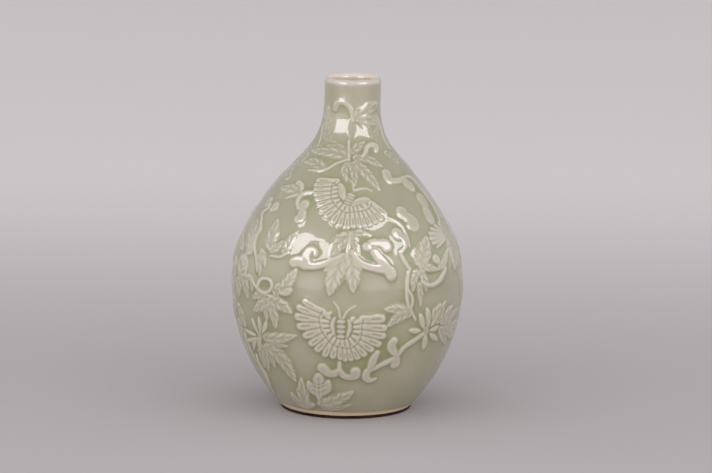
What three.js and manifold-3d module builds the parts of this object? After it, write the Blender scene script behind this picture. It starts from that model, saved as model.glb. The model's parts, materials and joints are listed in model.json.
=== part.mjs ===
import * as THREE from 'three';
import { mergeVertices } from 'three/addons/utils/BufferGeometryUtils.js';
import Module from 'manifold-3d';

// Celadon bottle vase with applied relief. Millimetres, +Z up.
// The origin is the centre of the foot's resting face. The front of the vase looks along -Y.

// Heights of the sections, each on top of the one before
const bellyHeight = 88;
const shoulderRise = 95.2;
const neckSweepRise = 40;
const collarRise = 14.8;

// Radii of the outside
const bellyRadius = 83.2;
const neckRootRadius = 35.5;
const neckRadius = 20.2;

// Slopes of the outside above level, and the shares of a section's rise that its curve leans out by
const footSlope = THREE.MathUtils.degToRad(45);
const shoulderSlope = THREE.MathUtils.degToRad(132.5);
const footLean = 0.31;
const floorLean = 0.25;
const bellyLean = 0.39;
const shoulderLean = 0.24;
const neckRootLean = 0.7;
const neckSweepLean = 0.3;
const neckTopLean = 0.55;

// Foot and floor
const footRadius = 46.7;
const footFlare = 0.6;
const footHeight = 2.4;
const footRingWidth = 8.5;
const footChamfer = 0.6;
const recessHeight = 5.5;
const floorThickness = 7;

// Walls, measured level
const bellyWall = 5;
const neckRootWall = 6.2;
const lipWall = 4;

// Relief: the gap left for the slip, and heights above the wall
const slipGap = 0.3;
const leafLift = 1.4;
const lobeLift = 1.45;
const stemLift = 1.2;
const wingLift = 1.3;
const wingGroove = 0.7;

// The points at a strip's ends have this share of its lift
const endShare = 0.3;

// A strip starts this far inside what it springs from
const rootOverlap = 1.2;

// Narrow leaves have one ridge, wider ones two with a sunk vein, and long ones one more station
const narrowLeaf = 4;
const longLeaf = 22;

// Number of flats round the vase
const facets = 36;

const glaze = { color: 0xaba48e, roughness: 0.12, metalness: 0 };
const paleGlaze = { color: 0xb9b29b, roughness: 0.12, metalness: 0 };
const ironFoot = { color: 0x2c1c16, roughness: 0.8, metalness: 0 };

const wasm = await Module();
wasm.setup();

const neckRootHeight = bellyHeight + shoulderRise;
const neckSweepTop = neckRootHeight + neckSweepRise;
const collarTop = neckSweepTop + collarRise;

// The relief is drawn on a vase of this girth with these levels, and is stretched to the real one
const drawnGirth = 83.2;
const drawnLevels = [0, 88, 183.2, 223.2, 238];
const levels = [0, bellyHeight, neckRootHeight, neckSweepTop, collarTop];
const stretches = levels.slice(1).map((level, i) => (
  (level - levels[i]) / (drawnLevels[i + 1] - drawnLevels[i])
));
const relief = Math.min(1, bellyRadius / drawnGirth, ...stretches);

function point(radius, height) {
  return new THREE.Vector2(radius, height);
}

// Line that leaves one point at a slope and reaches the next one upright
function rising(start, slope, reach, end, lean, spans) {
  const startHandle = start.clone().add(point(Math.cos(slope) * reach, Math.sin(slope) * reach));
  const endHandle = point(end.x, end.y - lean);
  return new THREE.CubicBezierCurve(start, startHandle, endHandle, end).getPoints(spans);
}

// Body line from the foot, or from the edge of the floor, to the belly
function lowerLine(start, lean, inset, spans) {
  const belly = point(bellyRadius - inset, bellyHeight);
  return rising(start, footSlope, bellyHeight * lean, belly, bellyHeight * bellyLean, spans);
}

// Shoulder line from the belly, where it is upright, to the root of the neck
function upperLine(bellyInset, rootInset, spans) {
  const belly = point(bellyRadius - bellyInset, bellyHeight);
  const root = point(neckRootRadius - rootInset, neckRootHeight);
  const down = shoulderSlope - Math.PI;
  const reach = shoulderRise * neckRootLean;
  return rising(root, down, reach, belly, -shoulderRise * shoulderLean, spans).reverse();
}

// Neck line from its root to where it stands upright
function neckLine(rootInset, topInset, spans) {
  const root = point(neckRootRadius - rootInset, neckRootHeight);
  const top = point(neckRadius - topInset, neckSweepTop);
  const reach = neckSweepRise * neckSweepLean;
  return rising(root, shoulderSlope, reach, top, neckSweepRise * neckTopLean, spans);
}

const footTop = point(footRadius + footFlare, footHeight);
const outerLower = lowerLine(footTop, footLean, 0, 7);
const outerUpper = upperLine(0, 0, 8);
const outerNeck = neckLine(0, 0, 5);

// Solids of revolution
function turned(profile) {
  const geometry = new THREE.LatheGeometry(profile, facets);
  geometry.rotateX(Math.PI / 2);
  return geometry;
}

function footRingPiece() {
  const inner = footRadius - footRingWidth;
  return turned([
    point(inner, footHeight),
    point(inner, footChamfer),
    point(inner + footChamfer, 0),
    point(footRadius, 0),
    footTop,
    point(inner, footHeight),
  ]);
}

function lowerBodyPiece() {
  const recessRadius = footRadius - footRingWidth;
  const floorTop = recessHeight + floorThickness;
  const floorEdge = point(footRadius, floorTop);
  const inside = lowerLine(floorEdge, floorLean, bellyWall, 4);
  return turned([
    point(0, recessHeight),
    point(recessRadius, recessHeight),
    point(recessRadius, footHeight),
    ...outerLower,
    ...inside.reverse(),
    point(0, floorTop),
  ]);
}

function upperBodyPiece() {
  const inside = upperLine(bellyWall, neckRootWall, 4);
  return turned([...outerUpper, ...inside.reverse(), outerUpper[0]]);
}

function neckPiece() {
  const inside = neckLine(neckRootWall, lipWall, 4);
  const lip = [];
  for (let step = 0; step <= 4; step += 1) {
    const turn = (Math.PI * step) / 4;
    const radius = neckRadius - lipWall / 2 + (Math.cos(turn) * lipWall) / 2;
    lip.push(point(radius, collarTop + (Math.sin(turn) * lipWall) / 2));
  }
  return turned([...outerNeck, ...lip, ...inside.reverse(), outerNeck[0]]);
}

// Distance run along the outer line from the foot, used to lay the relief on the wall
const wallLine = [...outerLower, ...outerUpper.slice(1), ...outerNeck.slice(1), point(neckRadius, collarTop)];
const wallRun = [0];
for (let i = 1; i < wallLine.length; i += 1) {
  wallRun.push(wallRun[i - 1] + wallLine[i].distanceTo(wallLine[i - 1]));
}

function spanOf(list, value) {
  let i = 1;
  while (i < list.length - 1 && list[i] < value) {
    i += 1;
  }
  return { i, share: (value - list[i - 1]) / (list[i] - list[i - 1]) };
}

// Real height of a height on the drawn vase
function stretched(drawnHeight) {
  const { i, share } = spanOf(drawnLevels, drawnHeight);
  return THREE.MathUtils.lerp(levels[i - 1], levels[i], share);
}

function runAt(drawnHeight) {
  const { i, share } = spanOf(wallLine.map((p) => p.y), stretched(drawnHeight));
  return THREE.MathUtils.lerp(wallRun[i - 1], wallRun[i], share);
}

function wallAt(run) {
  const { i, share } = spanOf(wallRun, run);
  const upward = wallLine[i].clone().sub(wallLine[i - 1]).normalize();
  const place = wallLine[i - 1].clone().lerp(wallLine[i], share);
  return { place, out: point(upward.y, -upward.x) };
}

// Point on the wall at an angle from the front, raised square to the wall
function onWall(angle, run, lift) {
  const { place, out } = wallAt(run);
  const radius = place.x + out.x * lift;
  const height = place.y + out.y * lift;
  return [Math.sin(angle) * radius, -Math.cos(angle) * radius, height];
}

function indexed(positions, index) {
  const geometry = new THREE.BufferGeometry();
  geometry.setAttribute('position', new THREE.BufferAttribute(new Float32Array(positions), 3));
  geometry.setIndex(new THREE.BufferAttribute(new Uint32Array(index), 1));
  geometry.computeVertexNormals();
  return geometry;
}

function asSolid(geometry) {
  const plain = geometry.clone();
  plain.deleteAttribute('normal');
  plain.deleteAttribute('uv');
  const merged = mergeVertices(plain, 1e-4);
  const mesh = new wasm.Mesh({
    numProp: 3,
    vertProperties: new Float32Array(merged.attributes.position.array),
    triVerts: new Uint32Array(merged.index.array),
  });
  return new wasm.Manifold(mesh);
}

function asGeometry(solid) {
  const mesh = solid.getMesh();
  return indexed(mesh.vertProperties, mesh.triVerts);
}

// Cross-sections of the relief from edge to edge, as [share of half width, share of lift].
// A share of lift of 0 lies on the slip.
const sections = {
  leaf: [[-1, 0], [-0.6, 1], [0, 0.6], [0.6, 1], [1, 0]],
  round: [[-1, 0], [-0.5, 1], [0.5, 1], [1, 0]],
  ridge: [[-1, 0], [0, 1], [1, 0]],
};

// A strip of relief along places given as [degrees from the front, height on the drawn vase].
// Widths are half widths at even stations between the two ends, and both ends are points.
// The strip starts a little before its first place, so that it grows into what it springs from.
function strip(section, lift, widths, places, slip = slipGap) {
  const middle = places[Math.floor(places.length / 2)];
  const radius = wallAt(runAt(middle[1])).place.x;
  const track = places.map(([angle, height]) => (
    new THREE.Vector3(THREE.MathUtils.degToRad(angle) * radius, runAt(height), 0)
  ));
  const heading = track[0].clone().sub(track[1]).normalize();
  track[0].addScaledVector(heading, rootOverlap * relief);
  const path = new THREE.CatmullRomCurve3(track);
  const positions = [];
  const index = [];
  // The edges of a wide strip stand off by the rise of the wall's curve under it
  const lay = (x, y, share, aside = 0) => {
    const stand = slip + aside ** 2 / (2 * radius);
    positions.push(...onWall(x / radius, y, THREE.MathUtils.lerp(stand, lift, share)));
  };
  const start = path.getPointAt(0);
  const end = path.getPointAt(1);
  lay(start.x, start.y, endShare);
  widths.forEach((width, station) => {
    const share = (station + 1) / (widths.length + 1);
    const at = path.getPointAt(share);
    const tangent = path.getTangentAt(share);
    for (const [side, level] of sections[section]) {
      const offset = side * width * relief;
      lay(at.x + tangent.y * offset, at.y - tangent.x * offset, level, offset);
    }
  });
  lay(end.x, end.y, endShare);
  const ring = sections[section].length;
  const last = widths.length * ring + 1;
  for (let i = 0; i < ring; i += 1) {
    const next = (i + 1) % ring;
    index.push(0, 1 + next, 1 + i);
    index.push(last, last - ring + i, last - ring + next);
    for (let station = 1; station < widths.length; station += 1) {
      const low = 1 + (station - 1) * ring;
      const high = low + ring;
      index.push(low + i, low + next, high + next);
      index.push(low + i, high + next, high + i);
    }
  }
  return asSolid(indexed(positions, index));
}

function leaf(width, ...places) {
  const [from, to] = [places[0], places[places.length - 1]];
  const radius = wallAt(runAt(from[1])).place.x;
  const reach = Math.hypot(THREE.MathUtils.degToRad(to[0] - from[0]) * radius, to[1] - from[1]);
  const widths = reach > longLeaf ? [width * 0.8, width, width * 0.6] : [width, width * 0.8];
  return strip(width < narrowLeaf ? 'ridge' : 'leaf', leafLift, widths, places);
}

function blade(width, ...places) {
  return strip('ridge', leafLift, [width * 0.8, width], places);
}

function stem(width, ...places) {
  return strip('ridge', stemLift, places.map(() => width), places, slipGap * 1.5);
}

function lobe(widths, ...places) {
  return strip('round', lobeLift, widths, places, slipGap * 1.25);
}

// A flower of blades round a small boss
function flower([angle, height], width, tips) {
  const petals = tips.map((tip) => blade(width, [angle, height], tip));
  const boss = lobe([1.8, 1.8], [angle - 1, height], [angle + 1.5, height]);
  return [...petals, boss];
}

// One closed skin from rows of places on the wall, each row from the first column to the last.
// The upper face follows the lifts. The lower face lies on the slip and has fewer rows.
function ribbedPlate(upper, lower) {
  const columns = upper[0].length;
  const positions = [];
  const index = [];
  const lay = ([angle, height, lift]) => (
    positions.push(...onWall(THREE.MathUtils.degToRad(angle), runAt(height), lift)) / 3 - 1
  );
  const top = upper.map((row) => row.map(lay));
  const bottom = [top[0], ...lower.map((row) => row.map(lay)), top[top.length - 1]];
  const quad = (a, b, c, d) => index.push(a, b, c, a, c, d);
  for (let i = 1; i < columns; i += 1) {
    for (let row = 1; row < top.length; row += 1) {
      quad(top[row - 1][i - 1], top[row - 1][i], top[row][i], top[row][i - 1]);
    }
    for (let row = 1; row < bottom.length; row += 1) {
      quad(bottom[row - 1][i], bottom[row - 1][i - 1], bottom[row][i - 1], bottom[row][i]);
    }
  }
  // Each side is closed by walking out along the upper and the lower edge together
  for (const side of [0, columns - 1]) {
    const over = top.map((row) => row[side]);
    const under = bottom.map((row) => row[side]);
    const close = (a, b, c) => {
      if (a !== b && b !== c && c !== a) {
        index.push(...(side ? [b, a, c] : [a, b, c]));
      }
    };
    let high = 0;
    let low = 0;
    while (high < over.length - 1 || low < under.length - 1) {
      if ((high + 1) / (over.length - 1) <= (low + 1) / (under.length - 1)) {
        close(over[high], over[high + 1], under[low]);
        high += 1;
      } else {
        close(under[low + 1], under[low], over[high]);
        low += 1;
      }
    }
  }
  return asSolid(indexed(positions, index));
}

// A butterfly at a place, turned clockwise, with ribbed wings fanned from the body
function butterfly([angle, height], turn, wing) {
  const { place: centre, out } = wallAt(runAt(height));
  const stretch = stretched(height + 1) - stretched(height);
  const lean = THREE.MathUtils.degToRad(turn);
  const place = (bearing, distance, aside = 0) => {
    const direction = THREE.MathUtils.degToRad(bearing);
    const x = (Math.sin(direction) * distance + Math.cos(direction) * aside) * relief;
    const y = (Math.cos(direction) * distance - Math.sin(direction) * aside) * relief;
    const right = x * Math.cos(lean) + y * Math.sin(lean);
    const up = y * Math.cos(lean) - x * Math.sin(lean);
    return [angle + THREE.MathUtils.radToDeg(right / centre.x), height + (up * out.x) / stretch];
  };
  // One row across a wing, at a share of the way from the body to the ring or from the ring to the tip
  const wingRow = (hand, fromRing, share, crestLift) => {
    const line = [];
    for (let column = 0; column <= 2 * wing.ribs; column += 1) {
      const across = column / (2 * wing.ribs);
      const crest = column % 2 === 1;
      const bearing = THREE.MathUtils.lerp(wing.firstRib, wing.lastRib, across);
      const ring = THREE.MathUtils.lerp(wing.ringReach, wing.tailRing, across);
      const tip = THREE.MathUtils.lerp(wing.tipReach, wing.tailReach, across ** 1.6) * (crest ? 1 : 0.93);
      const [from, to] = fromRing ? [ring, tip] : [wing.rootReach, ring];
      const lift = crest ? crestLift : Math.min(crestLift, wingGroove);
      line.push([...place(hand * bearing, THREE.MathUtils.lerp(from, to, share)), lift]);
    }
    return hand < 0 ? line.reverse() : line;
  };
  const pieces = [];
  for (const hand of [-1, 1]) {
    const upper = [
      wingRow(hand, false, 0, slipGap),
      wingRow(hand, false, 0.25, wingLift),
      wingRow(hand, false, 1, wingGroove),
      wingRow(hand, true, 0.12, wingLift),
      wingRow(hand, true, 0.86, wingLift),
      wingRow(hand, true, 1, slipGap),
    ];
    const lower = [
      wingRow(hand, false, 1, slipGap),
      wingRow(hand, true, 0.5, slipGap),
    ];
    pieces.push(ribbedPlate(upper, lower));
    pieces.push(lobe([1.9, 1.8], place(hand * 38, 8), place(hand * 145, 6.5)));
    pieces.push(stem(0.8, place(0, 8, hand * 0.8), place(hand * 10, 15), place(hand * 24, 22)));
  }
  pieces.push(lobe([1.8, 2.4, 1.8], place(0, 11), place(180, 11)));
  return pieces;
}

const largeWing = {
  ribs: 9,
  firstRib: 52,
  lastRib: 180,
  tipReach: 34.5,
  tailReach: 21.7,
  ringReach: 13.5,
  tailRing: 8.5,
  rootReach: 3,
};

const smallWing = { ...largeWing, tipReach: 30.5, tailReach: 18.5, ringReach: 12 };

// Applied pieces seen on the front half, each an assembly of strips that grow into one another
const sprigs = {
  neck_spray: () => [
    lobe([1.2, 1.5, 1.7, 1.8, 2], [3, 211], [0, 218], [-9, 224], [-22, 225.5], [-33, 221]),
    leaf(3.8, [4, 211], [30, 217], [56, 222]),
    leaf(3, [4, 211], [27, 208], [46, 205]),
    stem(1, [3, 213], [-0.5, 206], [-1, 199.5]),
    leaf(1.8, [-0.5, 203], [-9, 208]),
    leaf(1.8, [-0.5, 201], [12, 206]),
  ],
  neck_leaf: () => [
    leaf(3.2, [-44, 197], [-56, 210]),
    stem(0.9, [-43, 200], [-56, 196], [-62, 190]),
  ],
  neck_vine: () => [
    stem(1, [52, 215], [59, 207], [62, 197], [60, 188]),
    leaf(2.2, [60, 190], [48, 198]),
  ],
  shoulder_spray: () => [
    stem(1, [-3, 196.5], [-1, 190], [0.5, 180]),
    leaf(4.8, [-2, 185], [-24, 191], [-46, 191]),
    leaf(3.2, [2, 185], [7, 190], [10, 197]),
    lobe([1.6, 1.5, 1.6, 1.9], [12, 184], [20, 190], [31, 195], [40, 193], [36, 189]),
    leaf(3.6, [2, 184], [20, 185], [38, 179.5]),
    leaf(3.8, [1, 183], [14, 177], [25, 167]),
    leaf(2.6, [1, 183], [7, 170.5]),
    leaf(2.4, [-1, 183], [-4, 174]),
    stem(1.1, [0, 185], [-12, 182], [-26, 178], [-38, 176]),
    leaf(4.4, [-20, 179], [-42, 183], [-57, 179]),
  ],
  shoulder_leaf_left: () => [
    leaf(3, [-72, 168], [-66, 180]),
  ],
  upper_butterfly: () => butterfly([-0.5, 158], 26, smallWing),
  shoulder_scroll_right: () => [
    lobe([1.8, 1.9, 2.3, 3.1, 2.8], [60, 168], [52, 170.5], [43, 169.5], [37, 172], [36, 177]),
    lobe([1.8, 3, 2.8], [50, 170.5], [56.5, 167.5], [62, 163]),
    stem(0.9, [50, 170.5], [62, 171.5], [69, 166], [72, 158], [70, 149], [67, 142]),
    lobe([2.2, 2.6, 2.4], [63, 147], [61.5, 153], [62, 158]),
    lobe([2.2, 2.8, 2.4], [63, 149], [59, 147], [59, 142]),
    stem(0.9, [62, 150], [66, 152], [71, 150]),
  ],
  hook_leaf_left: () => [
    leaf(4.4, [-41, 161.5], [-52, 165], [-64, 163]),
    leaf(2.8, [-45, 162], [-43, 170]),
  ],
  hook_scroll_left: () => [
    lobe([1, 1.3, 1.5, 2, 2.6], [-29, 159], [-34, 159.5], [-38, 156.5], [-37, 151], [-31, 150]),
    lobe([2.6, 3], [-34, 150], [-28, 154]),
    lobe([2, 2, 3, 3], [-31, 153], [-30, 147.5], [-34, 142.5]),
  ],
  leaf_scroll: () => [
    leaf(2.6, [-2, 133], [4, 135.5], [12, 136]),
    leaf(4.6, [-1, 136], [-5, 132], [-8, 121]),
    leaf(5, [-1, 125], [-5, 116], [-8, 98.5]),
    leaf(4.2, [0, 125], [3, 112], [2.5, 100]),
    stem(1.2, [0, 136], [-0.5, 130], [0, 122]),
    lobe([1.6, 2, 2.2, 2.4, 3.4, 3], [-1, 127], [4, 123], [9, 118], [16, 116.5], [20, 115], [23, 109]),
    lobe([2.2, 2.3, 2.6], [17, 115], [15, 122], [15, 129]),
    lobe([2.8, 3, 3, 2.8], [8.5, 128], [14, 130], [22, 128]),
    lobe([1.6, 2, 2.1, 2.4, 3.4, 3], [-1, 121], [-6, 118], [-13, 115], [-20, 116], [-28, 119]),
    lobe([1.9, 2.2, 2.2, 2.2], [-20, 114], [-21.5, 121], [-20.5, 127.5], [-17, 126.5], [-16, 122.5]),
  ],
  right_vine: () => [
    lobe([2.4, 3, 2.6, 2.8, 2.9, 2.4], [34.5, 152], [39, 150], [41, 145], [43.5, 139]),
    stem(1.1, [29.5, 147.5], [40, 147.5]),
    stem(1.1, [32, 148], [35, 141], [35, 132], [33, 124]),
    lobe([2.4, 3, 2.6], [34, 129], [31, 134], [29.5, 138]),
    stem(1.2, [34, 131], [32, 124], [33, 117], [38, 111]),
    leaf(4.6, [38, 111], [44, 122], [47.5, 132]),
    leaf(3.4, [38, 111], [36, 120], [38, 128]),
    leaf(3.6, [38, 111], [52, 114], [60, 119]),
    leaf(4, [38, 111], [50, 110], [53, 102]),
    leaf(3, [38, 111], [34.5, 98]),
    leaf(3, [38, 111], [38.5, 88]),
    leaf(3, [38, 111], [43, 98]),
    stem(1.2, [38, 111], [32, 107], [29.5, 97], [31, 88], [35, 78]),
    lobe([0.8, 0.9, 0.9], [29.5, 100], [34, 92], [31, 84]),
  ],
  edge_leaf_right: () => [
    leaf(5.6, [68, 120], [66, 130], [59, 140]),
    stem(1.1, [65, 122], [71, 118], [71, 108]),
    leaf(3.6, [69, 119.5], [78, 131], [77, 141]),
    leaf(3.4, [71, 119], [79, 112], [79, 101]),
  ],
  right_flower: () => [
    ...flower([43.5, 68], 2.4, [
      [37.5, 81], [43, 84.5], [49, 80], [31, 68.5], [36, 58], [44, 53], [52.5, 58], [53.5, 70],
    ]),
    leaf(3, [50, 71], [52, 79], [50, 88]),
    leaf(3, [51, 71], [58, 80], [58, 90]),
    leaf(3, [52, 70], [64, 77], [70, 86]),
    leaf(3, [52, 69], [66, 68], [77, 71]),
    leaf(3, [52, 68], [62, 61], [66, 51]),
  ],
  scroll_branch: () => [
    stem(1.4, [33.5, 57], [29.5, 54], [27, 49], [21, 45.5], [13, 41.5]),
    lobe([1.6, 2.8, 3.4, 3], [27.5, 49], [25, 54], [23.5, 59], [25.5, 63]),
    lobe([2.6, 3.4, 3], [26.5, 50], [27.5, 45], [29, 41]),
    lobe([2.2, 2.9, 2.8, 2.2], [14, 41], [14, 48], [17.5, 53]),
    lobe([2.2, 2.6, 2.6, 2.8, 1.8], [14, 43], [11, 38], [12, 32.5], [15, 32], [18, 35]),
  ],
  double_scroll: () => [
    lobe([1.4, 1.8, 2.2, 2.6, 3.2, 3], [-3, 46], [-4.5, 39], [-9, 36.5], [-13, 40], [-13.5, 46]),
    lobe([1.8, 2.2, 2.4, 2.6, 2.8], [-3.5, 42], [-1, 36], [4, 35], [7.5, 39.5], [4, 43]),
  ],
  foot_leaves: () => [
    leaf(5.4, [-18, 13], [-19, 23], [-15, 36]),
    leaf(3.6, [-20, 13.5], [-28, 19], [-28, 32]),
    leaf(3, [-21, 13], [-31, 16], [-38, 23]),
    leaf(3.6, [-18, 12.5], [-6, 15], [6, 25]),
    leaf(3, [-18, 11], [-8, 9.5], [2, 11]),
    stem(1.4, [-23, 12.5], [-14, 12]),
  ],
  lower_butterfly: () => butterfly([-2.5, 71], 9, largeWing),
  side_leaf: () => [
    leaf(3.8, [28, 84], [25, 78], [23, 70]),
    leaf(3, [28, 83], [26.5, 88], [20, 92]),
  ],
  bud_vine: () => [
    lobe([2.4, 3.2, 2], [-66, 147], [-61, 151], [-56, 156]),
    stem(1, [-64, 149], [-62, 140], [-60, 130], [-58, 122], [-54, 114]),
    leaf(3.6, [-59, 123], [-48, 131], [-46.5, 143]),
    leaf(3.2, [-58, 123], [-48, 120], [-46, 111]),
    leaf(3.4, [-44, 118], [-36, 125], [-29.5, 139]),
    stem(1.1, [-59, 123], [-50, 119], [-42, 117], [-34, 121]),
  ],
  ring_spray: () => [
    lobe([1.1, 1.1, 1.1, 1.1, 1.1, 1.1, 1.1], [-40, 96], [-39.5, 103], [-44, 106], [-48, 102],
      [-47, 96], [-43, 93.5], [-38, 94]),
    leaf(3.8, [-41, 94], [-32, 98], [-26, 111]),
    leaf(3.8, [-41, 93.5], [-34, 91], [-27, 84]),
    leaf(3.6, [-42, 93.5], [-40, 84], [-39, 77]),
    leaf(3.6, [-43, 94], [-49, 89], [-53, 80]),
  ],
  left_flower: () => [
    ...flower([-49.5, 63], 2.4, [
      [-54.5, 71], [-49.5, 75], [-44.5, 73], [-62, 60], [-61, 51],
    ]),
    leaf(4, [-49, 62], [-36, 60], [-25.5, 65]),
    leaf(4.8, [-49, 61], [-42, 48], [-33, 31]),
    leaf(3, [-50, 62], [-52, 46], [-52, 34]),
    leaf(2.8, [-50, 62], [-59, 50], [-64, 40]),
  ],
  edge_leaf_left: () => [
    leaf(5, [-75, 87], [-67, 98], [-62, 111]),
    leaf(3, [-75, 86], [-64, 90], [-59, 87]),
    leaf(3.4, [-76, 88], [-84, 90], [-92, 95]),
    stem(1.2, [-75, 91], [-76, 84], [-74, 77]),
    leaf(3, [-76, 84], [-70, 77], [-66, 70]),
  ],
  foot_vine_left: () => [
    stem(0.9, [-77, 60], [-76, 48], [-70, 36], [-62, 26], [-56, 16]),
    leaf(3, [-75, 44], [-80, 34], [-80, 26]),
    leaf(2.6, [-67, 32], [-61, 36], [-57, 28]),
  ],
};

const group = new THREE.Group();
group.name = 'celadon_vase';

function addPiece(name, geometry, finish) {
  const mesh = new THREE.Mesh(geometry, new THREE.MeshStandardMaterial(finish));
  mesh.name = name;
  group.add(mesh);
}

addPiece('foot_ring', footRingPiece(), ironFoot);
addPiece('lower_body', lowerBodyPiece(), glaze);
addPiece('upper_body', upperBodyPiece(), glaze);
addPiece('neck', neckPiece(), glaze);

for (const [name, pieces] of Object.entries(sprigs)) {
  const sprig = pieces().reduce((whole, piece) => whole.add(piece));
  const front = asGeometry(sprig);
  addPiece(`${name}_front`, front, paleGlaze);
  addPiece(`${name}_back`, front.clone().rotateZ(Math.PI), paleGlaze);
}

export default group;
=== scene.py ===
"""Celadon bottle vase with sprigs of butterflies, vines and scrolls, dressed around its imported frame.

The relief is drawn as a height map on the developed wall, softened as a glaze softens it, and turned
into the pot by one Geometry Nodes tree. The pot's lengths are millimetres here and metres in the
meshes, and those of the glazes and the studio are metres.
"""

import json
import logging
import math
from dataclasses import dataclass, fields
from enum import Enum
from itertools import chain
from typing import Iterable, Sequence

import bpy
import numpy as np
from mathutils import Matrix, Vector

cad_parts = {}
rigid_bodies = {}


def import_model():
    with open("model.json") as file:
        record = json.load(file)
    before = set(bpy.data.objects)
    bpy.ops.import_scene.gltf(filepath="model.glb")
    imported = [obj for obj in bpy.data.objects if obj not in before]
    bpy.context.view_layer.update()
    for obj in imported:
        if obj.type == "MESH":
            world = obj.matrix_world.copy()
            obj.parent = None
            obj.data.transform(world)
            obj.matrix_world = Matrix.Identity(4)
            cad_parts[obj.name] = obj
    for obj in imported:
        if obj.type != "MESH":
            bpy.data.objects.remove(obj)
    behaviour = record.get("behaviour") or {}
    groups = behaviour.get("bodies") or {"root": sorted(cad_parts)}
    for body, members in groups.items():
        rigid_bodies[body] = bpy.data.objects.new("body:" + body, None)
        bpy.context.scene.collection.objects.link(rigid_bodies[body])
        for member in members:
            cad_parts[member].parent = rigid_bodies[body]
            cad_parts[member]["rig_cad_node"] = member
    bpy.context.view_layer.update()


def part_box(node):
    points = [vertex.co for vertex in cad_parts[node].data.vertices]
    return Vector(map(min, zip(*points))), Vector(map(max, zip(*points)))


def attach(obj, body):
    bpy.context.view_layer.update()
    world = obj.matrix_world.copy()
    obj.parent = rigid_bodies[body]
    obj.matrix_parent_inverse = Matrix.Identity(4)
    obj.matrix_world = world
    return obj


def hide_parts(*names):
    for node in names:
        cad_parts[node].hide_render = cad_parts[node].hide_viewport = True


# A millimetre in metres, and the millimetres of wall that a pixel of the photograph shows.
MM = 0.001
PIXEL = 0.72
PHOTO_WIDTH = 712
PHOTO_HEIGHT = 473
# Points round the wall, and millimetres between its rows outside, over the lip and inside.
COLUMNS = 1080
ROW_PITCH = 0.47
LIP_PITCH = 0.42
INNER_PITCH = 4.0
# The clay nodes of the wall from the foot up, and how many rings each is parted into.
POT_NODES = ("lower_body", "upper_body", "neck")
RINGS = (3, 4, 2)
# How fast the ridges change round the wall, and the hand's unevenness round and along it.
RIDGE_WANDER = 0.05
HAND_ROUND = 3.3
HAND_ALONG = 40.0
LOG = logging.getLogger("celadon_vase")

Point = tuple[float, float]
Colour = tuple[float, float, float, float]
Value = bpy.types.NodeSocket | float


class Section(Enum):
    """Cross-section of a strip of relief: the two powers of (1 - q**a)**b, q being 0 at its middle."""

    PAD = (3.0, 0.65)
    PLATE = (6.0, 0.5)
    ROLL = (2.2, 0.55)


def bezier(points: Sequence[Point], count: int = 160) -> np.ndarray:
    """Points of a cubic curve.

    Args:
        points: Start, its handle, the end's handle and the end.
        count: How many points to give.

    Returns:
        An array of count rows.
    """
    t = np.linspace(0.0, 1.0, count)[:, None]
    a, b, c, d = (np.array(p, float) for p in points)
    return (1 - t) ** 3 * a + 3 * (1 - t) ** 2 * t * b + 3 * (1 - t) * t**2 * c + t**3 * d


def rising(start: Point, slope: float, reach: float, end: Point, lean: float) -> np.ndarray:
    """Line that leaves one point at a slope in degrees and reaches the next one upright."""
    turn = math.radians(slope)
    handle = (start[0] + reach * math.cos(turn), start[1] + reach * math.sin(turn))
    return bezier([start, handle, (end[0], end[1] - lean), end])


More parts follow.
